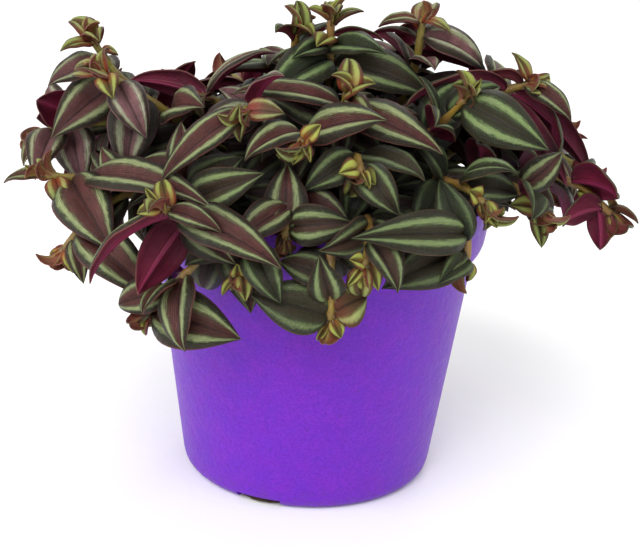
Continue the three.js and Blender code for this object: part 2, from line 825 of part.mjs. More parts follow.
const pot = makePot();
const soil = makeSoil();
show("pot", pot, materials.pot);
show("soil", soil, materials.soil);
growPlant([pot, soil]).forEach((shoot, i) => show("stem_" + stems[i].name, shoot, materials.shoot));

export default plant;
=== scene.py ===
import math
import random

import bmesh
import bpy
from mathutils import Matrix, Vector, bvhtree, kdtree, noise


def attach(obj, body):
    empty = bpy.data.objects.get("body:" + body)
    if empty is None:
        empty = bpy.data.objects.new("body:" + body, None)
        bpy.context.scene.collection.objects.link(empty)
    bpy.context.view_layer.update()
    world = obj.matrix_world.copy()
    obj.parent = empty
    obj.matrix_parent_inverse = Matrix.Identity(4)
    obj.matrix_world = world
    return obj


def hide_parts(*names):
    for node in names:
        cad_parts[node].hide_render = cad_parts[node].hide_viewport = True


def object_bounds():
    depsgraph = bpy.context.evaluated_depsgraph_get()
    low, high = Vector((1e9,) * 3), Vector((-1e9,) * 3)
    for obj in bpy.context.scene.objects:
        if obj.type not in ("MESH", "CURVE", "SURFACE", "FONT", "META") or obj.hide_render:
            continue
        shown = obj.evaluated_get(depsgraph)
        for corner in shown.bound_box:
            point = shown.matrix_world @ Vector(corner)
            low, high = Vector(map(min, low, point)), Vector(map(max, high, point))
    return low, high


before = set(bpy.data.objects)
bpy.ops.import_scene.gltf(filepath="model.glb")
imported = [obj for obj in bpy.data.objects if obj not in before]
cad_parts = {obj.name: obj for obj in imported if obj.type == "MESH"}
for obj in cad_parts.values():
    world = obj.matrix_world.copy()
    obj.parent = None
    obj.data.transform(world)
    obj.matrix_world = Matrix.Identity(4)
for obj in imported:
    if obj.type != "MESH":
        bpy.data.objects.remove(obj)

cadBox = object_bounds()
mm = 0.001
up = Vector((0, 0, 1))
boxLow, boxHigh = cadBox[0] / mm, cadBox[1] / mm


def addObject(name, data):
    item = bpy.data.objects.new(name, data)
    bpy.context.scene.collection.objects.link(item)
    return item


def meshFrom(name, bm):
    # Shapes are made in mm and end in metres
    bmesh.ops.scale(bm, vec=(mm, mm, mm), verts=bm.verts)
    mesh = bpy.data.meshes.new(name)
    bm.to_mesh(mesh)
    bm.free()
    return mesh


def makePiece(name, bm, slotName, materials, *replaced):
    piece = addObject(name, meshFrom(name, bm))
    for material in materials:
        piece.data.materials.append(material)
    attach(piece, "root")
    if replaced:
        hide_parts(*replaced)
    return piece


def smooth(bm):
    for face in bm.faces:
        face.smooth = True


def turnAbout(vector, axis, angle):
    return Matrix.Rotation(angle, 3, axis) @ vector


# Camera: stands at the front, a little above the plant, and is turned slightly about its view line
cameraSettings = {
    "aim": (2.204, 0.0, 69.587),  # mm
    "distance": 540.0,
    "elevation": 19.245,  # degrees
    "roll": 2.605,
    "lens": 87.554,
    "sensor": 36.0,
    "clip": (0.01, 20),
}
lift = math.radians(cameraSettings["elevation"])
towardEye = Vector((0, -math.cos(lift), math.sin(lift)))
eye = Vector(cameraSettings["aim"]) + towardEye * cameraSettings["distance"]


def makeCamera():
    settings = cameraSettings
    roll = math.radians(settings["roll"])
    right = Vector((1, 0, 0))
    above = towardEye.cross(right)
    x = right * math.cos(roll) + above * math.sin(roll)
    y = above * math.cos(roll) - right * math.sin(roll)
    data = bpy.data.cameras.new("camera")
    data.lens, data.sensor_width, data.sensor_fit = settings["lens"], settings["sensor"], "HORIZONTAL"
    data.clip_start, data.clip_end = settings["clip"]
    camera = addObject("camera", data)
    camera.matrix_world = Matrix.Translation(eye * mm) @ Matrix((x, y, towardEye)).transposed().to_4x4()
    bpy.context.scene.camera = camera


# Colours are given as seen on screen, 0 to 255, and used as the linear ones that shaders take
def shade(red, green, blue):
    def channel(value):
        value /= 255
        return value / 12.92 if value <= 0.04045 else ((value + 0.055) / 1.055) ** 2.4

    return (channel(red), channel(green), channel(blue), 1.0)


# Short ways to add shader nodes and join them
class Graph:
    def __init__(self, tree):
        self.tree = tree
        tree.nodes.clear()

    def feed(self, socket, value):
        if isinstance(value, bpy.types.NodeSocket):
            self.tree.links.new(value, socket)
        else:
            socket.default_value = value

    def add(self, kind, inputs=None, **settings):
        node = self.tree.nodes.new(kind)
        for name, value in settings.items():
            setattr(node, name, value)
        for name, value in (inputs or {}).items():
            self.feed(node.inputs[name], value)
        return node

    def maths(self, operation, *values, clamp=False):
        node = self.add("ShaderNodeMath", operation=operation, use_clamp=clamp)
        for socket, value in zip(node.inputs, values):
            self.feed(socket, value)
        return node.outputs[0]

    def times(self, first, second):
        return self.maths("MULTIPLY", first, second)

    def sloped(self, value, slope, start, clamp=False):
        return self.maths("MULTIPLY_ADD", value, slope, start, clamp=clamp)

    def rest(self, value):
        return self.maths("SUBTRACT", 1.0, value)

    def ease(self, value, low, high):
        # Rises smoothly from 0 at low to 1 at high
        node = self.add("ShaderNodeMapRange", interpolation_type="SMOOTHSTEP")
        for name, given in (("Value", value), ("From Min", low), ("From Max", high)):
            self.feed(node.inputs[name], given)
        return node.outputs[0]

    def mix(self, share, first, second):
        node = self.add("ShaderNodeMix", data_type="RGBA")
        for index, value in ((0, share), (6, first), (7, second)):
            self.feed(node.inputs[index], value)
        return node.outputs[2]

    def tint(self, skin, colour, mask, strength):
        return self.mix(self.times(mask, strength), skin, colour)

    def noise(self, vector, scale, detail, roughness):
        inputs = {"Vector": vector, "Scale": scale, "Detail": detail, "Roughness": roughness}
        return self.add("ShaderNodeTexNoise", inputs).outputs[0]

    def attributes(self, *names):
        return [self.add("ShaderNodeAttribute", attribute_name=name).outputs["Fac"] for name in names]

    def objectPlace(self):
        return self.add("ShaderNodeTexCoord").outputs["Object"]

    def placed(self, name, **inputs):
        node = self.add("ShaderNodeGroup", node_tree=groups[name])
        for label, value in inputs.items():
            self.feed(node.inputs[label], value)
        return node.outputs

    def surface(self, colour, roughness, height, distance, **settings):
        bump = self.add("ShaderNodeBump", {"Strength": 1.0, "Distance": distance, "Height": height})
        inputs = {"Base Color": colour, "Roughness": roughness, "Normal": bump.outputs[0]}
        inputs.update({name.replace("_", " "): value for name, value in settings.items()})
        skin = self.add("ShaderNodeBsdfPrincipled", inputs)
        self.feed(self.add("ShaderNodeOutputMaterial").inputs[0], skin.outputs[0])


def newGroup(name, inputs, outputs):
    # An input with no value of its own is a vector
    tree = bpy.data.node_groups.new(name, "ShaderNodeTree")
    for label, value in inputs.items():
        kind = "NodeSocketVector" if value is None else "NodeSocketFloat"
        socket = tree.interface.new_socket(name=label, in_out="INPUT", socket_type=kind)
        if value is not None:
            socket.default_value = value
    for label in outputs:
        tree.interface.new_socket(name=label, in_out="OUTPUT", socket_type="NodeSocketFloat")
    graph = Graph(tree)
    return graph, graph.add("NodeGroupInput").outputs, graph.add("NodeGroupOutput").inputs


def mottleGroup():
    # Soft patches with a finer grain in them
    graph, given, put = newGroup("mottle", {"Place": None, "Scale": 100.0, "Contrast": 1.0}, ("Value", "Grain"))
    broad = graph.noise(given["Place"], given["Scale"], 3.0, 0.55)
    fine = graph.noise(given["Place"], graph.times(given["Scale"], 7.0), 2.0, 0.6)
    both = graph.maths("ADD", graph.times(broad, 0.65), graph.times(fine, 0.35))
    spread = graph.times(graph.maths("SUBTRACT", both, 0.5), given["Contrast"])
    graph.feed(put["Value"], graph.maths("ADD", spread, 0.5, clamp=True))
    graph.feed(put["Grain"], fine)
    return graph.tree


def specksGroup():
    # Small separate spots: 1 inside a spot and 0 between
    inputs = {"Place": None, "Scale": 100.0, "Size": 0.2, "Share": 0.3}
    graph, given, put = newGroup("specks", inputs, ("Mask",))
    cells = graph.add("ShaderNodeTexVoronoi", {"Vector": given["Place"], "Scale": given["Scale"]})
    near = graph.rest(graph.ease(cells.outputs["Distance"], graph.times(given["Size"], 0.55), given["Size"]))
    split = graph.add("ShaderNodeSeparateColor", {"Color": cells.outputs["Color"]})
    chosen = graph.maths("LESS_THAN", split.outputs[0], given["Share"])
    graph.feed(put["Mask"], graph.times(near, chosen))
    return graph.tree


def veinsGroup():
    # Fine lengthwise veins that draw together at both ends of a leaf, and the streaks between them
    inputs = {"Along": 0.5, "Across": 0.0, "Count": 12.0, "Tone": 0.5}
    graph, given, put = newGroup("lengthwiseVeins", inputs, ("Ridge", "Streak", "Feather"))
    along, across = given["Along"], given["Across"]
    wave = graph.maths("SINE", graph.times(graph.times(across, given["Count"]), 2 * math.pi))
    graph.feed(put["Ridge"], graph.maths("POWER", graph.maths("ABSOLUTE", wave), 6.0))
    shift = graph.times(given["Tone"], 37.0)
    for label, ways, detail in (("Streak", (5.0, 34.0), 3.0), ("Feather", (16.0, 7.0), 4.0)):
        parts = {"X": graph.times(along, ways[0]), "Y": graph.times(across, ways[1]), "Z": shift}
        vector = graph.add("ShaderNodeCombineXYZ", parts).outputs[0]
        graph.feed(put[label], graph.noise(vector, 1.0, detail, 0.6))
    return graph.tree


groups = {"mottle": mottleGroup(), "specks": specksGroup(), "veins": veinsGroup()}


def newMaterial(name):
    material = bpy.data.materials.new(name)
    material.use_nodes = True
    return material, Graph(material.node_tree)


# Plain surfaces: noises by name, with a mottle's scale and contrast or the specks' scale, size and
# share; two colours mixed by the first noise; tints over them, each with its noise, output, strength
# and colour; the noise that varies the shine, how much, and the least; and the noises that make relief
plainSurfaces = {
    "purple_plastic": {
        "noises": {"cloud": (34.0, 2.2), "patches": (150.0, 3.4), "grain": (420.0, 2.6), "fine": (1300.0, 6.0),
                   "dirt": (190.0, 0.12, 0.09)},
        "base": ((108, 24, 178), (122, 34, 188)),
        "tints": [("patches", "Value", 0.9, (90, 34, 186)), ("grain", "Value", 0.45, (84, 12, 158)),
                  ("grain", "Grain", 0.3, (142, 48, 178)), ("fine", "Value", 0.46, (74, 12, 146)),
                  ("dirt", "Mask", 0.45, (70, 34, 96))],
        "dust": ("grain", 0.012, 0.35, (96, 66, 120)),  # its noise, height in metres, strength and colour
        "shine": ("cloud", 0.2, 0.3),
        "relief": [("cloud", "Value", 1.2), ("grain", "Value", 1.0)],
        "depth": 0.00018,
        "specular": 0.25,
    },
    "potting_mix": {
        "noises": {"lumps": (190.0, 2.6), "fine": (900.0, 2.2), "bits": (420.0, 0.3, 0.08)},
        "base": ((30, 22, 17), (72, 54, 40)),
        "tints": [("fine", "Value", 0.4, (98, 76, 54)), ("bits", "Mask", 0.8, (150, 128, 96))],
        "shine": ("fine", 0.2, 0.78),
        "relief": [("lumps", "Value", 1.4), ("fine", "Value", 1.0)],
        "depth": 0.0008,
        "specular": 0.3,
    },
    "perlite": {
        "noises": {"grain": (1200.0, 2.0), "pits": (1500.0, 0.4, 0.4)},
        "base": ((186, 180, 168), (236, 233, 224)),
        "tints": [("pits", "Mask", 0.4, (130, 118, 100))],
        "shine": ("grain", 0.1, 0.8),
        "relief": [("grain", "Value", 1.0)],
        "depth": 0.0006,
        "specular": 0.3,
    },
    "pale_floor": {
        "noises": {"grain": (30.0, 1.0)},
        "base": ((248, 248, 248), (251, 251, 251)),
        "shine": ("grain", 0.1, 0.7),
        "relief": [("grain", "Grain", 1.0)],
        "depth": 0.0001,
        "specular": 0.2,
    },
    "plant_hair": {
        "noises": {"grain": (700.0, 2.0)},
        "base": ((150, 138, 122), (196, 188, 170)),
        "shine": ("grain", 0.1, 0.4),
        "relief": [("grain", "Grain", 1.0)],
        "depth": 0.00001,
        "specular": 0.5,
    },
}


def plainMaterial(name):
    look = plainSurfaces[name]
    material, graph = newMaterial(name)
    place = graph.objectPlace()
    noises = {}
    for label, values in look["noises"].items():
        kind = "mottle" if len(values) == 2 else "specks"
        inputs = ("Scale", "Contrast") if kind == "mottle" else ("Scale", "Size", "Share")
        noises[label] = graph.placed(kind, Place=place, **dict(zip(inputs, values)))
    first = next(iter(noises.values()))
    skin = graph.mix(first["Value"], *(shade(*colour) for colour in look["base"]))
    for label, output, strength, colour in look.get("tints", ()):
        skin = graph.tint(skin, shade(*colour), noises[label][output], strength)
    if "dust" in look:
        # Rubbed and dusty along the foot
        label, height, strength, colour = look["dust"]
        low = graph.add("ShaderNodeSeparateXYZ", {"Vector": place}).outputs[2]
        dust = graph.times(graph.ease(low, height, 0.0), graph.ease(noises[label]["Value"], 0.4, 0.8))
        skin = graph.tint(skin, shade(*colour), dust, strength)
    label, slope, least = look["shine"]
    shine = graph.sloped(noises[label]["Grain"], slope, least)
    relief = 0.0
    for label, output, strength in look["relief"]:
        relief = graph.sloped(noises[label][output], strength, relief)
    graph.surface(skin, shine, relief, look["depth"], Specular_IOR_Level=look["specular"])
    return material


# Pot, in mm, as the CAD has it
potSettings = {
    "height": 102.0,
    "footRadius": 43.2,
    "taper": 0.1385,
    "wall": 1.3,
    "collarRadius": 60.0,
    "collarHeight": 20.0,
    "collarTurn": 4.0,  # height in which the wall widens to the collar
    "footEdge": 5.0,
    "floor": 2.0,
    "lip": 0.45,  # rounding of the rim's two edges
    "arcSteps": 4,
    "wallRings": (30, 56),
    "steps": 128,
    "slots": 3,
    "slotWidth": 16.0,
    "slotHeight": 3.0,
    "slotLength": 14.0,
    "slotTurn": 249.0,
    "sharpAngle": 38.0,
}


def wallRadius(height):
    return potSettings["footRadius"] + potSettings["taper"] * height


def collarRadiusAt(height):
    return potSettings["collarRadius"] - potSettings["taper"] * (potSettings["height"] - height)


# Heights and radii that the pot and its soil share
collarFoot = potSettings["height"] - potSettings["collarHeight"]
innerStep = collarFoot + 0.4 * potSettings["collarTurn"]
innerCollar = collarFoot + potSettings["collarTurn"]
innerStepRadius = wallRadius(collarFoot) - potSettings["wall"]
innerFootRadius = wallRadius(potSettings["floor"]) - 2 * potSettings["wall"]
slotTurns = [Matrix.Rotation(math.radians(potSettings["slotTurn"] + 360 * i / potSettings["slots"]), 4, "Z")
             for i in range(potSettings["slots"])]


def turnedShell(bm, profile, steps):
    # A profile of (radius, height) turned about the upright axis
    verts = [bm.verts.new((radius, 0, height)) for radius, height in profile]
    edges = [bm.edges.new(pair) for pair in zip(verts, verts[1:])]
    bmesh.ops.spin(bm, geom=verts + edges, cent=(0, 0, 0), axis=(0, 0, 1), angle=2 * math.pi, steps=steps,
                   use_merge=True)
    bmesh.ops.remove_doubles(bm, verts=bm.verts, dist=0.001)
    bmesh.ops.recalc_face_normals(bm, faces=bm.faces)


def roundedProfile(corners):
    # Each corner is (radius, height) and its rounding
    points = [Vector((radius, height)) for radius, height, rounding in corners]
    made = []
    for i, (radius, height, rounding) in enumerate(corners):
        if not rounding:
            made.append((radius, height))
            continue
        here = points[i]
        a, b = (here + (other - here).normalized() * rounding for other in (points[i - 1], points[i + 1]))
        for j in range(potSettings["arcSteps"] + 1):
            t = j / potSettings["arcSteps"]
            made.append(tuple(a * (1 - t) ** 2 + here * (2 * t * (1 - t)) + b * t * t))
    return made


def makePot():
    p = potSettings
    edge = wallRadius(p["footEdge"]) - p["footEdge"]
    bm = bmesh.new()
    turnedShell(bm, roundedProfile([
        (0, 0.0, 0),
        (edge * 0.5, 0.0, 0),
        (edge, 0.0, 0),
        (edge + 0.5 * p["footEdge"], 0.14 * p["footEdge"], 1.0),
        (edge + 0.86 * p["footEdge"], 0.5 * p["footEdge"], 1.2),
        (wallRadius(p["footEdge"]), p["footEdge"], 1.4),
        *((wallRadius(height), height, 0) for height in p["wallRings"]),
        (wallRadius(collarFoot), collarFoot, 0.7),
        (collarRadiusAt(collarFoot) - 0.8, collarFoot + 0.3 * p["collarTurn"], 0.8),
        (collarRadiusAt(innerCollar), innerCollar, 1.8),
        (p["collarRadius"], p["height"], p["lip"]),
        (p["collarRadius"] - p["wall"], p["height"], p["lip"]),
        (collarRadiusAt(innerCollar) - p["wall"], innerCollar, 0.6),
        (innerStepRadius, innerStep, 0.6),
        (innerFootRadius, p["floor"], 1.0),
        (0, p["floor"], 0),
    ]), p["steps"])
    pot = makePiece("nursery_pot", bm, "pot_plastic", [plainMaterial("purple_plastic")], "pot")

    # Drainage slots, cut through the foot and the edge of the floor
    cutters = bmesh.new()
    size = Matrix.Diagonal((p["slotLength"], p["slotWidth"], 2 * p["slotHeight"], 1))
    shift = Matrix.Translation((wallRadius(0) - p["slotLength"] / 2 + p["wall"], 0, 0))
    for turn in slotTurns:
        made = bmesh.ops.create_cube(cutters, size=1)["verts"]
        bmesh.ops.transform(cutters, matrix=turn @ shift @ size, verts=made)
    cutter = addObject("slot_cutters", meshFrom("slot_cutters", cutters))
    cut = pot.modifiers.new("slots", "BOOLEAN")
    cut.operation, cut.solver, cut.object = "DIFFERENCE", "EXACT", cutter
    bpy.context.view_layer.update()
    finished = bpy.data.meshes.new_from_object(pot.evaluated_get(bpy.context.evaluated_depsgraph_get()))
    pot.modifiers.clear()
    pot.data = finished
    finished.name = "nursery_pot"
    bpy.data.objects.remove(cutter)
    finished.shade_smooth()
    finished.set_sharp_from_angle(angle=math.radians(p["sharpAngle"]))


# Soil, in mm
soilSettings = {
    "height": 90.0,
    "crown": 3.0,
    "lump": 1.1,
    "gap": 0.55,
    "rings": 26,
    "steps": 96,
    "grain": 0.55,
    "grainFade": 3.0,  # from the edge inwards
    "seed": 11,
    "bitsFromEdge": 2.2,
    "bitsUp": 0.25,  # of their radius
    "bitsRough": (0.7, 1.15),
    "bitsSqueeze": ((0.8, 1.3), (0.8, 1.2), 0.7),
    "crumbs": (900, (0.5, 1.5)),  # how many, and their least and greatest radius
    "perlite": (90, (0.6, 1.3)),
    "plug": (3.5, 7.4, 1.3),  # half sizes of the soil in each drainage slot
    "plugAway": 38.4,
    "plugRough": 0.12,
}


def soilSurface(x, y):
    share = math.hypot(x, y) / potSettings["collarRadius"]
    lumps = math.sin(x * 0.31 + 1.3) * math.cos(y * 0.27) + 0.6 * math.sin(x * 0.17 - y * 0.36)
    crown = soilSettings["crown"] * (1 - share * share)
    return soilSettings["height"] + crown + soilSettings["lump"] * lumps * (1 - share**4)


def makeSoil():
    s, p = soilSettings, potSettings
    edge = collarRadiusAt(s["height"]) - p["wall"] - s["gap"]
    profile = [
        (0, p["floor"] + s["gap"]),
        (innerFootRadius - s["gap"], p["floor"] + s["gap"]),
        (innerStepRadius - s["gap"], innerStep),
        (collarRadiusAt(innerCollar) - p["wall"] - 2 * s["gap"], innerCollar + s["gap"]),
    ]
    profile += [(edge * i / s["rings"], s["height"]) for i in range(s["rings"], -1, -1)]
    bm = bmesh.new()
    turnedShell(bm, profile, s["steps"])
    for vert in bm.verts:
        x, y, z = vert.co
        if z > s["height"] - 0.01:
            rough = noise.fractal(Vector((x, y, 0)) * 0.5, 1.0, 2.0, 4)
            fade = min(1, (edge - math.hypot(x, y)) / s["grainFade"])
            vert.co.z = soilSurface(x, y) + s["grain"] * rough * max(0, fade)
    smooth(bm)
    potting = plainMaterial("potting_mix")
    makePiece("potting_soil_bed", bm, "potting_soil", [potting], "soil")

    chance = random.Random(s["seed"])
    for name, (count, sizes), material in (("soil_crumbs", s["crumbs"], potting),
                                           ("perlite_grains", s["perlite"], plainMaterial("perlite"))):
        bm = bmesh.new()
        for _ in range(count):
            away = (edge - s["bitsFromEdge"]) * math.sqrt(chance.random())
            angle = chance.uniform(0, 2 * math.pi)
            x, y = away * math.cos(angle), away * math.sin(angle)
            size = chance.uniform(*sizes)
            made = bmesh.ops.create_icosphere(bm, subdivisions=1, radius=size)["verts"]
            for vert in made:
                vert.co *= chance.uniform(*s["bitsRough"])
            turn = Matrix.Rotation(chance.uniform(0, 6.28), 4,
                                   Vector((chance.random(), chance.random(), 1)).normalized())
            wide, deep, high = s["bitsSqueeze"]
            squeeze = Matrix.Diagonal((chance.uniform(*wide), chance.uniform(*deep), high, 1))
            place = Matrix.Translation((x, y, soilSurface(x, y) + size * s["bitsUp"]))
            bmesh.ops.transform(bm, matrix=place @ turn @ squeeze, verts=made)
        makePiece(name, bm, "potting_soil", [material])

    # Soil that shows in the drainage slots
    bm = bmesh.new()
    shift = Matrix.Translation((s["plugAway"], 0, p["slotHeight"] / 2))
    for i, turn in enumerate(slotTurns):
        made = bmesh.ops.create_icosphere(bm, subdivisions=4, radius=1)["verts"]
        for vert in made:
            rough = noise.fractal(vert.co * 2.5 + Vector((i * 5, 0, 0)), 1.0, 2.0, 4)
            vert.co *= 1 + s["plugRough"] * rough
        bmesh.ops.transform(bm, matrix=turn @ shift @ Matrix.Diagonal((*s["plug"], 1)), verts=made)
    smooth(bm)
    makePiece("soil_in_the_slots", bm, "potting_soil", [potting])


# Stem lines and leaf poses, worked out as in the CAD so that each fine leaf lies on its plain one.
# In mm: the first lines are the CAD's own
stemSettings = {
    "steps": 6,  # the CAD's straight lengths
    "sunk": 10.6,
    "rise": 22.0,
    "bareFoot": 25.0,
    "walkStep": 1 / 400,
    "seed": 100,  # the first stem's
    "sides": 10,
    "footRadius": 1.5,
    "tipRadius": 0.85,
    "tipTaper": 0.45,  # of the last ring
    "knot": 0.45,  # how much a node swells
    "knotLength": 1.8,
    "ringStep": 1.5,
    "easing": 6,
    "youngLength": 26.0,
}


def whole(value):
    return value & 0xFFFFFFFF


def draw(a, b, c, d):
    # The CAD's repeatable draw between -1 and 1 for four whole numbers
    h = whole((a + 1) * 0x9E3779B1) ^ whole((b + 1) * 0x85EBCA6B)
    h ^= whole((c + 1) * 0xC2B2AE35) ^ whole((d + 1) * 0x27D4EB2F)
    h = whole((h ^ (h >> 15)) * 0x2C1B3C6D)
    h = whole((h ^ (h >> 12)) * 0x297A2D39)
    return (h ^ (h >> 15)) / 2**31 - 1


class Stem:
    def __init__(self, number, name, root, bend, tip, side, own=()):
        self.number, self.name, self.side, self.own = number, name, side, own
        self.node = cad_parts["stem_" + name]
        foot = Vector((*root, soilSurface(*root)))
        self.points = [foot, foot + up * stemSettings["rise"], Vector(bend), Vector(tip)]
        self.line = self.straightLengths()
        self.leaves = []

    def at(self, t):
        a, b, c, d = self.points
        s = 1 - t
        return a * s**3 + b * (3 * s * s * t) + c * (3 * s * t * t) + d * t**3

    def tangent(self, t):
        a, b, c, d = self.points
        s = 1 - t
        return ((b - a) * (3 * s * s) + (c - b) * (6 * s * t) + (d - c) * (3 * t * t)).normalized()

    def straightLengths(self, count=300):
        fine = [self.points[0] - up * stemSettings["sunk"]] + [self.at(i / count) for i in range(count + 1)]
        walked = lengthsTo(fine)
        self.length = walked[-1] - walked[1]
        spots = []
        j = 0
        for i in range(stemSettings["steps"] + 1):
            goal = walked[-1] * i / stemSettings["steps"]
            while j < len(fine) - 2 and walked[j + 1] < goal:
                j += 1
            share = (goal - walked[j]) / (walked[j + 1] - walked[j])
            spots.append(fine[j].lerp(fine[j + 1], min(1, share)))
        return spots

    def nearestOnLine(self, point):
        best = None
        for a, b in zip(self.line, self.line[1:]):
            along = b - a
            share = min(1, max(0, (point - a).dot(along) / along.length_squared))
            here = a + along * share
            if best is None or (here - point).length < (best - point).length:
                best = here
        return best

    def walkBack(self, distance):
        here, walked, last = 1.0, 0.0, self.at(1)
        while walked < distance and here > 0:
            here -= stemSettings["walkStep"]
            following = self.at(here)
            walked += (last - following).length
            last = following
        return here

    def spotBack(self, distance):
        # Where a leaf stands this far back from the growing tip, and the stem's way there
        where = self.walkBack(distance)
        return self.nearestOnLine(self.at(where)), self.tangent(where)

    def smoothWay(self):
        # The straight lengths with their corners eased, in even short steps, from the foot to the tip
        dense = []
        for a, b in zip(self.line, self.line[1:]):
            count = max(2, round((b - a).length / stemSettings["ringStep"]))
            dense += [a.lerp(b, i / count) for i in range(count)]
        dense.append(self.line[-1])
        for _ in range(stemSettings["easing"]):
            inside = [(a + 2 * b + c) / 4 for a, b, c in zip(dense, dense[1:], dense[2:])]
            dense = [dense[0], *inside, dense[-1]]
        return dense


def lengthsTo(points):
    walked = [0.0]
    for a, b in zip(points, points[1:]):
        walked.append(walked[-1] + (b - a).length)
    return walked


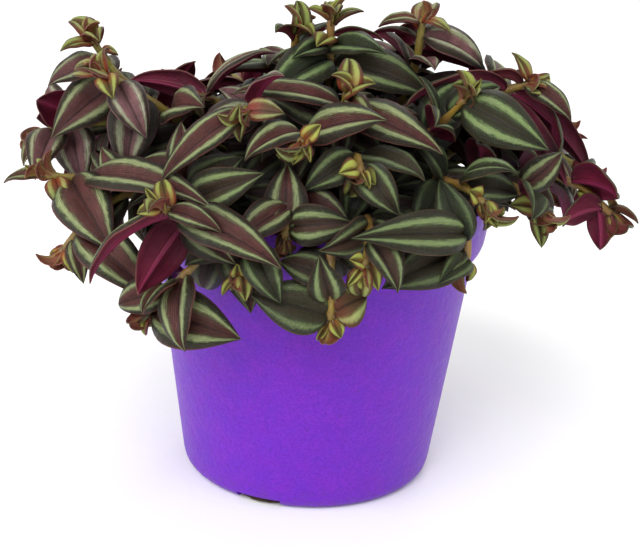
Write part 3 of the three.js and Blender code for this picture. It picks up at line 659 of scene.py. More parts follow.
# Where each stem stands, bends to and ends, the hand of its first leaf, and its leaves that have a place of
# their own: how far back from the tip, where the leaf's own tip is, its width and its lean to the front
stems = {
    "left_top": ((-20, 12), (-68, -2, 124), (-76, -5, 149), 0,
        [(2, (-85, -10, 146), 7.5, 20), (5, (-68, -2, 143), 6.5, 10), (9, (-89, -12, 135), 13.5, 30),
         (17, (-86.5, -22, 120), 19, 60)]),
    "left_high": ((-24, -8), (-56, -20, 134), (-71, -25, 143), 1,
        [(3, (-65, -32, 136), 8.5, 60), (5, (-77, -28, 145), 8.5, 20), (8, (-54, -34, 124), 13.5, 60),
         (16, (-61, -31, 111.5), 17, 75)]),
    "left_mid": ((-30, 2), (-74, -4, 129), (-94, -9, 117), 0,
        [(2, (-97, -18, 109), 6.5, 10), (6, (-90.5, -31, 108.5), 15, 60),
         (12, (-77.5, -21, 104), 16.5, 62)]),
    "left_far": ((-34, -12), (-70, -34, 106), (-87, -36, 111), 1,
        [(1, (-100, -34, 108), 7.5, 20), (4, (-79, -42, 102), 8.5, 50), (9, (-62, -55, 93.5), 21, 65),
         (14, (-30, -72, 115), 16, 38)]),
    "left_low": ((-36, -22), (-66, -44, 114), (-79, -45, 89), 0,
        [(1, (-76, -48, 83), 5.5, 30), (5, (-72, -52, 81), 8.5, 50), (8, (-48, -60, 79), 17, 50)]),
    "front_arch": ((-22, -27), (-42, -70, 101), (-45, -72, 113), 1,
        [(1, (-52, -72, 111), 6.5, 40), (3, (-27, -78, 108), 8.5, 40), (6, (-67, -74, 90), 16, -15),
         (9, (-9, -84, 100), 16.5, 45), (16, (-52, -76, 87), 16, -80)]),
    "left_hang": ((-15, -36), (-22, -76, 112), (-50, -64, 76.5), 0,
        [(1, (-39, -66, 74), 8.5, 40), (2, (-21, -73, 73.5), 21, 62)]),
    "front_curl": ((-8, -41), (-16, -72, 112), (-22, -75, 93), 1,
        [(1, (-22, -76, 98), 5.5, 60), (2, (-20, -78, 87), 6.5, 45)]),
    "front_hang": ((4, -38), (5, -82, 118), (6, -74, 80), 0,
        [(1, (9, -76, 76), 5.5, 40), (2, (-18, -76, 89), 18, 65), (3, (16, -71, 88), 15, 60),
         (8, (2, -82, 104), 13, 85), (14, (-11, -70, 97), 12, 65)]),
    "front_right": ((15, -40), (18, -72, 110), (15, -78, 99), 1,
        [(1, (11, -80, 102), 6.5, 40), (3, (19, -80, 93), 6.5, 40)]),
    "right_low": ((28, -32), (54, -60, 110), (47, -58, 96), 0,
        [(1, (38, -70, 92.5), 10, 60), (4, (21.5, -67, 89), 18, 62), (6, (38, -50, 120), 13.5, 85),
         (9, (11.5, -80, 109), 15.5, 65)]),
    "front_mid": ((8, -27), (12, -46, 134), (13, -60, 123), 1,
        [(1, (17, -62, 120), 7.5, 60), (2, (7, -62, 123), 7.5, 60), (4, (25, -66, 112), 13.5, 80)]),
    "front_inner": ((-4, -20), (-5, -50, 140), (-5, -62, 132), 0,
        [(1, (0, -60, 137), 6.5, 60), (2, (-7, -64, 126), 7.5, 60)]),
    "front_low": ((-5, -33), (-7, -68, 122), (-9, -66, 103), 0,
        [(2, (-9, -56, 124), 15, 85), (4, (11, -68, 110), 13, 70)]),
    "left_inner": ((-12, -12), (-18, -40, 146), (-23, -55, 139), 1,
        [(1, (-11, -55, 139), 8.5, 50), (3, (-47, -62, 118), 11.5, 40)]),
    "left_front": ((-26, -23), (-44, -50, 122), (-38, -58, 110), 0,
        [(2, (-16, -66, 123), 14, 70), (5, (-23, -56, 125), 13.5, 60)]),
    "high_front": ((4, -8), (5, -30, 128), (8, -40, 143), 0,
        [(2, (16, -46, 134), 8.5, 60), (9, (39, -50, 129), 16, 45), (7, (-30, -44, 136), 12.5, 30),
         (13, (11, -47, 115), 14.5, 80), (15, (21.5, -38, 121.5), 13.5, 75)]),
    "crown": ((1, 3), (3, -6, 130), (2, -5, 160), 1,
        [(1, (-5, -8, 163), 6.5, 20), (3, (12, -3, 162), 7.5, 0), (6, (19, -6, 153.5), 8, -25),
         (7, (-2, -13, 151.5), 9, 35), (10, (19.5, -21, 152), 11.5, 45), (10, (-9.5, -16, 148), 9, 40),
         (14, (-17, -22, 136), 18, 50), (16, (36, -9, 135.5), 19.5, 42)]),
    "crown_left": ((-8, 11), (-14, 8, 130), (-9, 2, 154), 0),
    "high_right": ((13, 5), (33, 1, 125), (32, 0, 160), 1,
        [(1, (41, -5, 156), 6.5, 20), (2, (18, -2, 157), 10.5, 10), (6, (53.5, 2, 143), 15, 32),
         (7, (16, 4, 153.5), 5.5, 0), (10, (56, 10, 139), 13.5, -50)]),
    "right_top": ((21, 0), (52, -2, 138), (69, -5, 141), 0,
        [(1, (62, -3, 150), 6.5, 20), (2, (82, -14, 131.5), 11.5, 30), (3, (53, -5, 142), 10.5, -20),
         (8, (92, -5, 110.5), 14, -45), (8, (26, -25, 137), 15, -45), (12, (81, -27, 112.5), 11, -75)]),
    "right_mid": ((29, -2), (70, 8, 132), (82, 12, 125), 1),
    "right_face": ((17, -15), (38, -30, 128), (45, -36, 142), 0,
        [(2, (70, -48, 130), 18.5, 72)]),
    "right_small": ((26, -20), (44, -42, 122), (52, -51, 112), 1,
        [(2, (56, -54, 106), 7.5, 50), (3, (47, -50, 116), 8.5, 50)]),
    "right_under": ((34, -12), (62, -30, 122), (71, -41, 107), 0,
        [(2, (72, -44, 97), 7.5, 40), (3, (61, -42, 110), 8.5, 50)]),
    "right_far": ((38, 3), (82, -16, 122), (97, -22, 102), 1,
        [(1, (94, -20, 108), 7.5, -20), (3, (105, -24, 100), 8.5, -20), (4, (79, -32, 102), 13, -72),
         (6, (93, -30, 92), 11.5, -50), (9, (85, -18, 110), 11.5, 20)]),
    "left_bow": ((-14, 0), (-30, -8, 132), (-38, -15, 134), 0,
        [(1, (-16, -12, 149), 11.5, 0), (3, (-63, -14, 138), 12, -58), (6, (-56, -11, 124), 12.5, -50)]),
    "back_hang": ((2, 39), (3, 74, 116), (5, 76, 82), 1),
    "back_right": ((22, 33), (42, 62, 116), (45, 76, 92), 0),
    "right_back": ((37, 19), (78, 38, 116), (88, 46, 90), 1),
    "back_left": ((-20, 35), (-40, 66, 116), (-42, 76, 86), 0),
    "left_back": ((-37, 18), (-78, 38, 116), (-87, 44, 94), 1),
    "back_mid": ((10, 26), (14, 52, 132), (18, 70, 120), 0),
    "back_mid_right": ((25, 19), (56, 40, 130), (70, 52, 113), 1),
    "back_mid_left": ((-8, 27), (-18, 50, 132), (-22, 69, 116), 0),
    "left_back_mid": ((-24, 20), (-52, 40, 128), (-66, 50, 115), 1),
    "back_high_right": ((12, 16), (28, 28, 146), (35, 36, 147), 0),
    "back_high_left": ((-12, 20), (-26, 34, 132), (-34, 46, 128), 1),
    "right_back_low": ((36, 11), (78, 14, 124), (91, 15, 107), 0),
    "left_back_low": ((-37, 9), (-76, 16, 122), (-91, 18, 106), 1),
}
plants = [Stem(number, name, *row) for number, (name, row) in enumerate(stems.items())]

# Ranks of leaf from the growing tip: back, length, width, swing, arch, fold
ranks = [
    (0, 7, 4.5, 26, 60, 50),
    (4, 14, 9.0, 42, 60, 34),
    (10, 20, 13.0, 52, 50, 24),
    (18, 26, 16.5, 56, 44, 18),
    (28, 28, 18.0, 58, 40, 16),
    (39, 28, 18.0, 60, 40, 16),
    (51, 26, 17.0, 62, 40, 16),
]

# Leaves, in mm and degrees: the first lines are the CAD's own
leafSettings = {
    "widest": 0.36,
    "roundness": 0.62,
    "baseOffset": 0.7,
    "droop": 0.18,
    "droopVariation": 0.15,
    "lengthVariation": 0.1,
    "widthVariation": 0.06,
    "archVariation": 0.3,
    "tries": 60,
    "wildTry": 36,
    "wildShrink": 0.18,
    "domeMiddle": 64.0,
    "ownArch": 42.0,
    "ownFold": 20.0,
    "ownGap": 5.0,
    "strays": {"roll": (14, 75), "swing": (12, 40), "twist": (14, 45), "ownAim": (0, 25), "ownLean": (0, 45)},
    "cadThickness": 0.7,
    "match": 0.12,  # how near a tip has to be to the CAD's own
    "thickness": 0.36,
    "groove": 0.5,  # depth of the channel over the midrib
    "grooveWidth": 0.7,
    "bulge": 0.2,  # crown of each half of the blade, as a share of its half width
    "bulgeReach": 1.06,
    "wave": 0.05,  # of the margin, as a share of the half width
    "waves": (1.4, 2.6),
    "waveShift": 0.31,  # between the two margins
    "curl": (-10, 10),
    "recurve": 0.14,
    "tipHook": 1.1,
    "hookFrom": 0.8,
    "ends": (0.002, 0.998),
    "weld": 0.002,
    "crossEase": 1.2,
    "boxGap": 0.05,
    "leanEase": 1.6,
    "steps": (16, 10),
    "plainSteps": (12, 6),  # for small leaves and those deeper in the mound
    "plainLength": 12.0,
    "shadeShares": (0.1, 0.4, 0.7, 0.95),  # where along a leaf its painted shade is measured
    "youngLength": 13.0,  # a leaf longer than this and 6 mm has its full colour
    "youngest": 6.0,
    "youth": (0.75, 1),
    "sameTone": 0.7,  # how much of a leaf's tone is the stem's
}
domeMiddle = up * leafSettings["domeMiddle"]


def leafPlans(stem):
    own = stem.own
    start = own[-1][0] + leafSettings["ownGap"] if own else 0
    reach = stem.length - stemSettings["bareFoot"]
    plans = []
    for back, tip, width, lean in own:
        plans.append({"back": back, "tip": Vector(tip), "width": width, "lean": lean,
                      "arch": leafSettings["ownArch"], "fold": leafSettings["ownFold"]})
    for r, (back, length, width, swing, arch, fold) in enumerate(ranks):
        if (r == 0 or back >= start) and back < reach:
            plans.append({"back": back, "length": length, "width": width, "swing": swing, "arch": arch,
                          "fold": fold})
    for plan in plans:
        plan["spot"], plan["along"] = stem.spotBack(plan["back"])
    return plans


def leafPose(stem, k, plan, attempt):
    s, settings = stem.number, leafSettings
    wildness = min(1, attempt / settings["wildTry"])

    def vary(name, salt):
        first, last = settings["strays"][name]
        return math.radians((first + (last - first) * wildness) * draw(s, k, attempt, salt))

    along, spot = plan["along"], plan["spot"]
    length = 1 - settings["wildShrink"] * wildness
    if "tip" in plan:
        chord = plan["tip"] - spot
        length *= chord.length
        across = chord.cross(up).normalized()
        chord = turnAbout(chord.normalized(), across, vary("ownAim", 1))
        chord = turnAbout(chord, up, vary("ownAim", 2))
        lean = math.radians(plan["lean"]) + vary("ownLean", 3)
        face = Vector((0, -math.sin(lean), math.cos(lean)))
    else:
        face = Vector((spot.x, spot.y, spot.z - settings["domeMiddle"])).normalized()
        hand = 1 if (k + stem.side) % 2 else -1
        aside = turnAbout(along.cross(face).normalized() * hand, along, vary("roll", 1))
        swing = math.radians(plan["swing"]) + vary("swing", 2)
        chord = along * math.cos(swing) + aside * math.sin(swing)
        sag = settings["droop"] + settings["droopVariation"] * draw(s, k, attempt, 7)
        chord = (chord - up * sag).normalized()
        length *= plan["length"] * (1 + settings["lengthVariation"] * draw(s, k, 0, 4))
    outward = (chord - along * chord.dot(along)).normalized()
    face = (face - chord * face.dot(chord)).normalized()
    if "tip" not in plan:
        face = turnAbout(face, chord, vary("twist", 4))
    breadth = 1 + settings["widthVariation"] * draw(s, k, 0, 5) - settings["wildShrink"] * wildness
    arch = plan["arch"] * (1 + settings["archVariation"] * draw(s, k, attempt, 6))
    return {"base": spot + outward * settings["baseOffset"], "chord": chord, "face": face, "length": length,
            "width": plan["width"] * breadth, "arch": math.radians(arch),
            "fold": math.radians(plan["fold"]), "back": plan["back"], "own": "tip" in plan}


def leafFrame(leaf, share):
    # The midrib's point at a share of the length, with the way aside and the way out of the blade
    half = leaf["arch"] / 2
    start = leaf["chord"] * math.cos(half) + leaf["face"] * math.sin(half)
    top = leaf["face"] * math.cos(half) - leaf["chord"] * math.sin(half)
    turn = leaf["arch"] * share
    radius = leaf["length"] / (2 * math.sin(half))
    point = leaf["base"] + start * (radius * math.sin(turn)) - top * (radius * (1 - math.cos(turn)))
    normal = top * math.cos(turn) + start * math.sin(turn)
    return point, start.cross(top), normal


def outline(share):
    share = min(1, max(0, share))
    widest, power = leafSettings["widest"], leafSettings["roundness"]
    return (share / widest) ** power * ((1 - share) / (1 - widest)) ** (power * (1 / widest - 1))


def matchLeaves(stem):
    # Picks, for each leaf, the try whose tip is a corner of the stem's CAD solid
    corners = stem.node.data.vertices
    tree = kdtree.KDTree(len(corners))
    for i, vertex in enumerate(corners):
        tree.insert(vertex.co / mm, i)
    tree.balance()
    for k, plan in enumerate(leafPlans(stem)):
        for attempt in range(leafSettings["tries"]):
            leaf = leafPose(stem, k, plan, attempt)
            point, aside, normal = leafFrame(leaf, 1)
            corner = point + normal * (leafSettings["cadThickness"] / 2)
            if tree.find(corner)[2] < leafSettings["match"]:
                stem.leaves.append(leaf)
                break


# More leaves along the stems, which close the mound: each is tried in many poses, touches nothing
# and stays within reach of the leaves around it
fillSettings = {
    "seed": 5,
    "first": 11.0,  # mm back from the growing tip
    "step": 4.4,
    "uneven": 0.3,
    "most": 130.0,
    "bare": 9.0,  # left free above the soil
    "tries": 44,
    "lengths": (15.0, 26.0),
    "lateLengths": (10.0, 17.0),  # for a second round, behind the plant's middle
    "lateFrom": 6.0,
    "breadth": (0.6, 0.74),
    "swing": (35, 105),
    "lift": 0.6,
    "sag": 0.4,
    "twist": 32,
    "fold": (8, 24),
    "arch": (34, 72),
    "flattest": 0.2,  # a leaf that points more nearly to the light than this is dropped
    "margin": 0.55,  # kept free above and below a leaf while it is tried
    "skin": 0.3,  # and once it is set
    "reach": 0.97,
    "cone": 0.90,  # cosine of the cone in which leaves count as neighbours
    "inside": 0.8,  # mm kept inside the CAD's box
    "sheetShares": (0.12, 0.36, 0.62, 0.84, 0.98),  # cross-sections of the sheets that stand in for a leaf
    "shownShares": (0.15, 0.4, 0.65, 0.9),  # and of a leaf that has to stay in sight
    "shownAcross": (-0.7, 0, 0.7),
    "seenShares": (0.5, 0.85),  # where a leaf's middle and its end are looked at
    "tipSeen": 0.5,  # worth of an end that shows at the front
    "least": 0.9,  # a leaf that is seen less than this isn't worth adding
    "longer": 0.03,  # worth of each mm of its length
    "cover": 0.6,  # worth of each bare place on a stem that a leaf hides from the front
    "covers": 2,  # bare places hidden at best
    "seenTip": 12.0,  # this much of a stem stays in sight, and all of the stems named here
    "bareStep": 2.5,
    "barePlaces": 40,
    "bareStems": ("high_right", "right_face", "left_top"),
    "clearArc": (-38, -10, 4),  # degrees round the pot's collar that stay in sight at the right
    "clearHeights": (86, 90, 94, 98, 101),
    # Gaps from which a sight line starts: at a leaf's point, at a stem's, and at what hides a stem
    "leafGap": 1.2,
    "stemGap": 3.0,
    "hideGap": 2.2,
    "viewGap": 1.5,
    # The plant's upper outline from the front, as (x, z) where sight lines cross the plane y = 0
    "skyline": [(-110, 96), (-104, 100), (-102, 112), (-93, 140), (-85, 151), (-75, 152), (-69, 143),
                (-65, 139), (-57, 140), (-47, 138), (-42, 135), (-37, 136), (-28, 144), (-18, 148), (-13, 154),
                (-7, 161), (1, 164), (11, 162), (16, 159), (24, 163), (36, 163), (44, 158), (52, 151),
                (58, 146), (67, 147), (77, 140), (85, 131), (92, 118), (96, 104), (110, 98)],
    "views": [(0.0, -0.94, 0.33), (0.0, -0.94, 0.33), (0.8, -0.5, 0.33), (-0.8, -0.5, 0.33), (0.7, 0.6, 0.4),
              (-0.7, 0.6, 0.4), (0.0, 0.94, 0.33), (0.0, 0.0, 1.0), (0.0, -0.5, 0.86)],
}


def bladeSpots(leaf, share, acrosses, lift=0.0):
    # Points of the plain blade in one cross-section, lifted off it
    point, aside, normal = leafFrame(leaf, share)
    half = outline(share) * leaf["width"] / 2
    out, rise = math.cos(leaf["fold"]), math.sin(leaf["fold"])
    return [point + aside * (across * half * out) + normal * (abs(across) * half * rise + lift)
            for across in acrosses]


def addProxy(verts, faces, leaf, margin):
    # A coarse sheet on each side of a leaf
    for offset in (-margin, margin):
        for i, share in enumerate(fillSettings["sheetShares"]):
            verts += bladeSpots(leaf, share, (-1, 0, 1), offset)
            if i:
                a = len(verts) - 6
                faces += [(a, a + 1, a + 4, a + 3), (a + 1, a + 2, a + 5, a + 4)]


def searchTree(nodes, leaves, margin):
    # A search tree, in mm, of CAD solids and of leaves added to them, and its points
    verts, faces = [], []
    for node in nodes:
        first = len(verts)
        verts += [vert.co / mm for vert in node.data.vertices]
        faces += [tuple(first + i for i in face.vertices) for face in node.data.polygons]
    for leaf in leaves:
        addProxy(verts, faces, leaf, margin)
    return bvhtree.BVHTree.FromPolygons(verts, faces), verts


def blocked(tree, point, way, gap):
    return tree is not None and tree.ray_cast(point + way * gap, way)[0] is not None


def hides(tree, point, gap=0.0):
    return blocked(tree, point, (eye - point).normalized(), gap)


def leafReach(leaf):
    # Which way from the mound's middle a leaf's tip lies, and how far
    tip = leaf["base"] + leaf["chord"] * leaf["length"] - domeMiddle
    return tip.normalized(), tip.length


def underSkyline(point):
    ahead = point - eye
    spot = eye - ahead * (eye.y / ahead.y)
    for (x, z), (nextX, nextZ) in zip(fillSettings["skyline"], fillSettings["skyline"][1:]):
        if x <= spot.x <= nextX:
            return spot.z < z + (nextZ - z) * (spot.x - x) / (nextX - x)
    return False


def shownSpots(solid):
    # Points that stay in sight at the front: of the leaves that have a place of their own, and of the pot
    spots = []
    for leaf in (leaf for stem in plants for leaf in stem.leaves if leaf["own"]):
        for share in fillSettings["shownShares"]:
            spots += [spot for spot in bladeSpots(leaf, share, fillSettings["shownAcross"])
                      if not hides(solid, spot, fillSettings["leafGap"])]
    for angle in range(*fillSettings["clearArc"]):
        for height in fillSettings["clearHeights"]:
            radius, turn = collarRadiusAt(height), math.radians(angle)
            spots.append(Vector((radius * math.cos(turn), radius * math.sin(turn), height)))
    return spots


def bareSpots(solid):
    # Bare places on the stems in sight from the front
    spots = []
    for stem in plants:
        if stem.name not in fillSettings["bareStems"]:
            for i in range(fillSettings["barePlaces"]):
                back = fillSettings["seenTip"] + fillSettings["bareStep"] * i
                if back > stem.length:
                    break
                spot = stem.at(stem.walkBack(back))
                if not hides(solid, spot, fillSettings["stemGap"]):
                    spots.append(spot)
    return spots


def fillPose(chance, spot, along, back, late):
    settings = fillSettings
    light = (spot - domeMiddle).normalized()
    around = turnAbout(along.orthogonal().normalized(), along, chance.uniform(0, 2 * math.pi))
    swing = math.radians(chance.uniform(*settings["swing"]))
    chord = along * math.cos(swing) + around * math.sin(swing)
    chord += light * chance.uniform(0, settings["lift"])
    chord = (chord - up * chance.uniform(0, settings["sag"])).normalized()
    length = chance.uniform(*settings["lateLengths" if late else "lengths"])
    outward = (chord - along * chord.dot(along)).normalized()
    face = light - chord * light.dot(chord)
    if face.length < settings["flattest"]:
        return None
    face = turnAbout(face.normalized(), chord, math.radians(chance.uniform(-1, 1) * settings["twist"]))
    return {"base": spot + outward * leafSettings["baseOffset"], "chord": chord, "face": face,
            "length": length, "width": length * chance.uniform(*settings["breadth"]),
            "arch": math.radians(chance.uniform(*settings["arch"])),
            "fold": math.radians(chance.uniform(*settings["fold"])), "back": back, "fill": True}


def fillMound():
    settings = fillSettings
    chance = random.Random(settings["seed"])
    solid = searchTree(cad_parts.values(), (), 0)[0]
    tips = [leafReach(leaf) for stem in plants for leaf in stem.leaves]
    views = [Vector(view).normalized() for view in settings["views"]]
    shown, bare = shownSpots(solid), bareSpots(solid)
    inside = Vector((1, 1, 1)) * settings["inside"]
    low, high = boxLow + inside, boxHigh - inside
    addedVerts, addedFaces, added = [], [], None
    count = 0

    def openTo(point, way):
        return not any(blocked(tree, point, way, settings["viewGap"]) for tree in (solid, added))

    def worth(leaf, best):
        # What a leaf adds to the mound, or nothing where it can't stand
        way, reach = leafReach(leaf)
        near = [far for direction, far in tips if direction.dot(way) > settings["cone"]]
        if not near or reach > settings["reach"] * max(near):
            return 0
        centre, nearTip = (leafFrame(leaf, share)[0] for share in settings["seenShares"])
        score = sum(openTo(centre, view) for view in views) + settings["tipSeen"] * openTo(nearTip, views[0])
        score += settings["longer"] * leaf["length"]
        if score + settings["covers"] * settings["cover"] <= best:
            return 0
        tree, points = searchTree((), (leaf,), settings["margin"])
        if tree.overlap(solid) or (added is not None and tree.overlap(added)):
            return 0
        if any(min(point[i] - low[i], high[i] - point[i]) < 0 for point in points for i in range(3)):
            return 0
        if not all(underSkyline(point) for point in points[:len(points) // 2]):
            return 0
        if any(hides(tree, point) for point in shown):
            return 0
        return score + settings["cover"] * sum(hides(tree, point, settings["hideGap"]) for point in bare)

    rounds = int(settings["most"] / settings["step"])
    for turn in range(2 * rounds):
        late = turn >= rounds
        for stem in plants:
            uneven = chance.uniform(-settings["uneven"], settings["uneven"])
            back = settings["first"] + (turn % rounds + uneven) * settings["step"]
            if back > stem.length - settings["bare"]:
                continue
            spot, along = stem.spotBack(back)
            if late and spot.y < settings["lateFrom"]:
                continue
            best, bestScore = None, settings["least"]
            for _ in range(settings["tries"]):
                leaf = fillPose(chance, spot, along, back, late)
                score = worth(leaf, bestScore) if leaf else 0
                if score > bestScore:
                    best, bestScore = leaf, score
            if best is None:
                continue
            stem.leaves.append(best)
            count += 1
            addProxy(addedVerts, addedFaces, best, settings["skin"])
            added = bvhtree.BVHTree.FromPolygons(addedVerts, addedFaces)
            tree = searchTree((), (best,), settings["skin"])[0]
            bare = [point for point in bare if not hides(tree, point, settings["hideGap"])]
    print("leaves added inside the mound:", count)
    return solid, added


leafColours = {
    "middle": (96, 50, 48),
    "middleDark": (38, 26, 17),
    "middleGreen": (32, 46, 24),
    "middlePink": (140, 96, 100),
    "stripe": (172, 180, 124),
    "stripeGrey": (112, 124, 84),
    "stripeGreen": (108, 142, 72),
    "stripeSilver": (190, 182, 166),
    "stripeDeep": (56, 74, 40),
    "stripeDull": (70, 78, 50),
    # Colour of the painted glints on the leaf face
    "silver": (176, 186, 160),
    "edge": (38, 30, 16),
    "edgeGreen": (30, 40, 18),
    "margin": (122, 66, 60),
    "marginPink": (150, 104, 104),
    "marginGreen": (82, 72, 40),
    "midrib": (26, 14, 15),
    "youngMiddle": (104, 90, 38),
    "youngStripe": (176, 186, 84),
    "youngEdge": (110, 62, 34),
    "youngBase": (190, 66, 30),
    "back": (102, 20, 40),
    "backDark": (52, 9, 18),
    "backLight": (144, 44, 84),
    "youngBack": (120, 100, 50),
    "youngBackPink": (150, 78, 60),
    "stemGreen": (126, 130, 34),
    "stemOrange": (160, 92, 30),
    "stemRed": (92, 34, 26),
    "stemLines": (176, 166, 84),
    # Near-black painted shade for leaves that other leaves hide from the sky
    "inner": (10, 9, 6),
}
colour = {name: shade(*seen) for name, seen in leafColours.items()}


def leafUv(graph):
    place = graph.add("ShaderNodeUVMap", uv_map="UVMap").outputs[0]
    split = graph.add("ShaderNodeSeparateXYZ", {"Vector": place})
    return split.outputs[0], graph.sloped(split.outputs[1], 2.0, -1.0)


def leafFaceMaterial():
    material, graph = newMaterial("leaf_face")
    maths, times, sloped = graph.maths, graph.times, graph.sloped
    ease, mix, tint = graph.ease, graph.mix, graph.tint
    along, across = leafUv(graph)
    youth, tone, stripe, depth = graph.attributes("leafYouth", "leafTone", "leafStripe", "leafPaintedShade")
    veins = graph.placed("veins", Along=along, Across=across, Count=9.0, Tone=tone)
    offset = maths("ABSOLUTE", across)

    # The stripe: a ragged band between the midrib and the margin
    ragged = sloped(maths("SUBTRACT", veins["Feather"], 0.5), 0.22, offset)
    ragged = sloped(maths("SUBTRACT", veins["Streak"], 0.5), 0.26, ragged)
    middle = sloped(stripe, 0.24, 0.43)
    half = sloped(youth, 0.08, sloped(stripe, -0.05, 0.18))
    inner, outer = maths("SUBTRACT", middle, half), maths("ADD", middle, half)
    rise = ease(ragged, maths("SUBTRACT", inner, 0.13), maths("ADD", inner, 0.15))
    fall = ease(ragged, maths("SUBTRACT", outer, 0.12), maths("ADD", outer, 0.11))
    band = times(times(rise, graph.rest(fall)), ease(along, 0.01, 0.12))
    core = ease(band, 0.3, 1.0)

    place = graph.objectPlace()
    mottle = graph.placed("mottle", Place=place, Scale=260.0, Contrast=2.2)
    pink, green = ease(tone, 0.3, 0.04), ease(tone, 0.5, 0.9)
    heart = mix(pink, colour["middle"], colour["middlePink"])
    heart = mix(sloped(mottle["Value"], 0.8, -0.05, clamp=True), heart, colour["middleDark"])
    heart = tint(heart, colour["middleGreen"], green, 0.92)
    bright = mix(green, mix(pink, colour["stripe"], colour["stripeSilver"]), colour["stripeGreen"])
    streaked = mix(ease(veins["Streak"], 0.32, 0.72), colour["stripeGrey"], bright)
    streaked = tint(streaked, colour["stripeGrey"], mottle["Value"], 0.3)
    streaked = tint(streaked, colour["stripeDull"], times(ease(stripe, 0.6, 0.95), green), 0.7)
    streaked = mix(graph.rest(core), streaked, mix(pink, colour["stripeDeep"], heart))
    side = mix(green, colour["middleDark"], colour["edgeGreen"])
    side = mix(ease(veins["Feather"], 0.35, 0.7), colour["edge"], side)
    old = mix(band, mix(ease(offset, inner, outer), heart, side), streaked)
    young = mix(ease(offset, 0.5, 0.95), colour["youngMiddle"], colour["youngEdge"])
    young = mix(band, young, colour["youngStripe"])
    young = mix(times(ease(along, 0.6, 0.05), ease(tone, 1.1, 0.1)), young, colour["youngBase"])
    leaf = mix(ease(youth, 0.15, 0.95), old, young)
    leaf = tint(leaf, colour["midrib"], ease(offset, 0.1, 0.02), 0.55)
    rim = mix(green, mix(pink, colour["margin"], colour["marginPink"]), colour["marginGreen"])
    leaf = tint(leaf, rim, ease(offset, 0.92, 0.99), 0.65)
    # Painted glints: silvery specks that stand in for cells catching the light, thickest on the stripes
    paintedGlints = graph.placed("specks", Place=place, Scale=2600.0, Size=0.36, Share=0.5)
    leaf = mix(times(paintedGlints["Mask"], sloped(band, 0.3, 0.12)), leaf, colour["silver"])
    # Painted shade, darkest where other leaves hide the sky
    leaf = tint(leaf, colour["inner"], depth, 0.9)

    height = sloped(veins["Ridge"], 0.55, times(mottle["Grain"], 0.9))
    graph.surface(leaf, sloped(mottle["Value"], 0.16, 0.27), sloped(veins["Streak"], 0.6, height), 0.00022,
                  Specular_IOR_Level=0.24, Sheen_Weight=0.02, Sheen_Roughness=0.4)
    return material


def leafBackMaterial():
    material, graph = newMaterial("leaf_back")
    sloped, ease, mix, tint = graph.sloped, graph.ease, graph.mix, graph.tint
    along, across = leafUv(graph)
    youth, tone, depth = graph.attributes("leafYouth", "leafTone", "leafPaintedShade")
    veins = graph.placed("veins", Along=along, Across=across, Count=8.0, Tone=tone)
    mottle = graph.placed("mottle", Place=graph.objectPlace(), Scale=300.0, Contrast=1.8)
    offset = graph.maths("ABSOLUTE", across)
    old = mix(ease(veins["Streak"], 0.3, 0.7), colour["backDark"], colour["back"])
    for mask, strength in ((mottle["Value"], 0.35), (ease(offset, 0.12, 0.02), 0.6), (veins["Ridge"], 0.25)):
        old = tint(old, colour["backLight"], mask, strength)
    young = mix(ease(veins["Feather"], 0.35, 0.65), colour["youngBack"], colour["youngBackPink"])
    young = tint(young, colour["youngStripe"], ease(offset, 0.14, 0.02), 0.5)
    leaf = mix(ease(youth, 0.2, 1.0), old, young)
    # Painted shade, darkest where other leaves hide the sky
    leaf = tint(leaf, colour["inner"], depth, 0.9)
    height = sloped(ease(offset, 0.14, 0.0), 1.4, sloped(veins["Ridge"], 0.5, mottle["Grain"]))
    graph.surface(leaf, sloped(mottle["Value"], 0.15, 0.36), height, 0.0002,
                  Specular_IOR_Level=0.24, Sheen_Weight=0.02, Sheen_Roughness=0.4)
    return material


def stemMaterial():
    material, graph = newMaterial("stem_skin")
    maths, sloped, mix, tint = graph.maths, graph.sloped, graph.mix, graph.tint
    youth, tone, knot = graph.attributes("leafYouth", "leafTone", "leafStripe")
    place = graph.objectPlace()
    mottle = graph.placed("mottle", Place=place, Scale=160.0, Contrast=2.4)
    stretched = graph.add("ShaderNodeMapping", {"Vector": place, "Scale": (1.0, 1.0, 0.2)}).outputs[0]
    lines = graph.placed("mottle", Place=stretched, Scale=900.0, Contrast=1.6)
    orange = maths("MULTIPLY", mottle["Value"], sloped(tone, 0.8, 0.1), clamp=True)
    old = maths("MULTIPLY", graph.rest(graph.ease(youth, 0.1, 0.85)), sloped(tone, 0.3, 0.2), clamp=True)
    skin = mix(old, mix(orange, colour["stemGreen"], colour["stemOrange"]), colour["stemRed"])
    skin = tint(skin, colour["stemRed"], knot, 0.55)
    skin = tint(skin, colour["stemLines"], lines["Value"], 0.18)
    graph.surface(skin, sloped(mottle["Grain"], 0.2, 0.32), lines["Value"], 0.0003,
                  Specular_IOR_Level=0.5, Coat_Weight=0.1, Coat_Roughness=0.3)
    return material


# Painted shade baked into the leaves' colour: how much of the sky other leaves hide from each leaf
shadeSettings = {
    "rays": 14,
    "reach": 34.0,  # mm within which other leaves take light away
    "start": 1.4,
    "farther": 0.5,  # how much less a leaf at that distance counts
    "open": 0.18,  # share of hidden sky that still counts as none
    "closed": 0.7,
}


def skyRays():
    # Evenly spread directions over the upper half of a sphere
    rays = []
    for i in range(shadeSettings["rays"]):
        height = (i + 0.5) / shadeSettings["rays"]
        turn = i * math.pi * (3 - math.sqrt(5))
        flat = math.sqrt(1 - height * height)
        rays.append(Vector((flat * math.cos(turn), flat * math.sin(turn), height)))
    return rays


sky = skyRays()


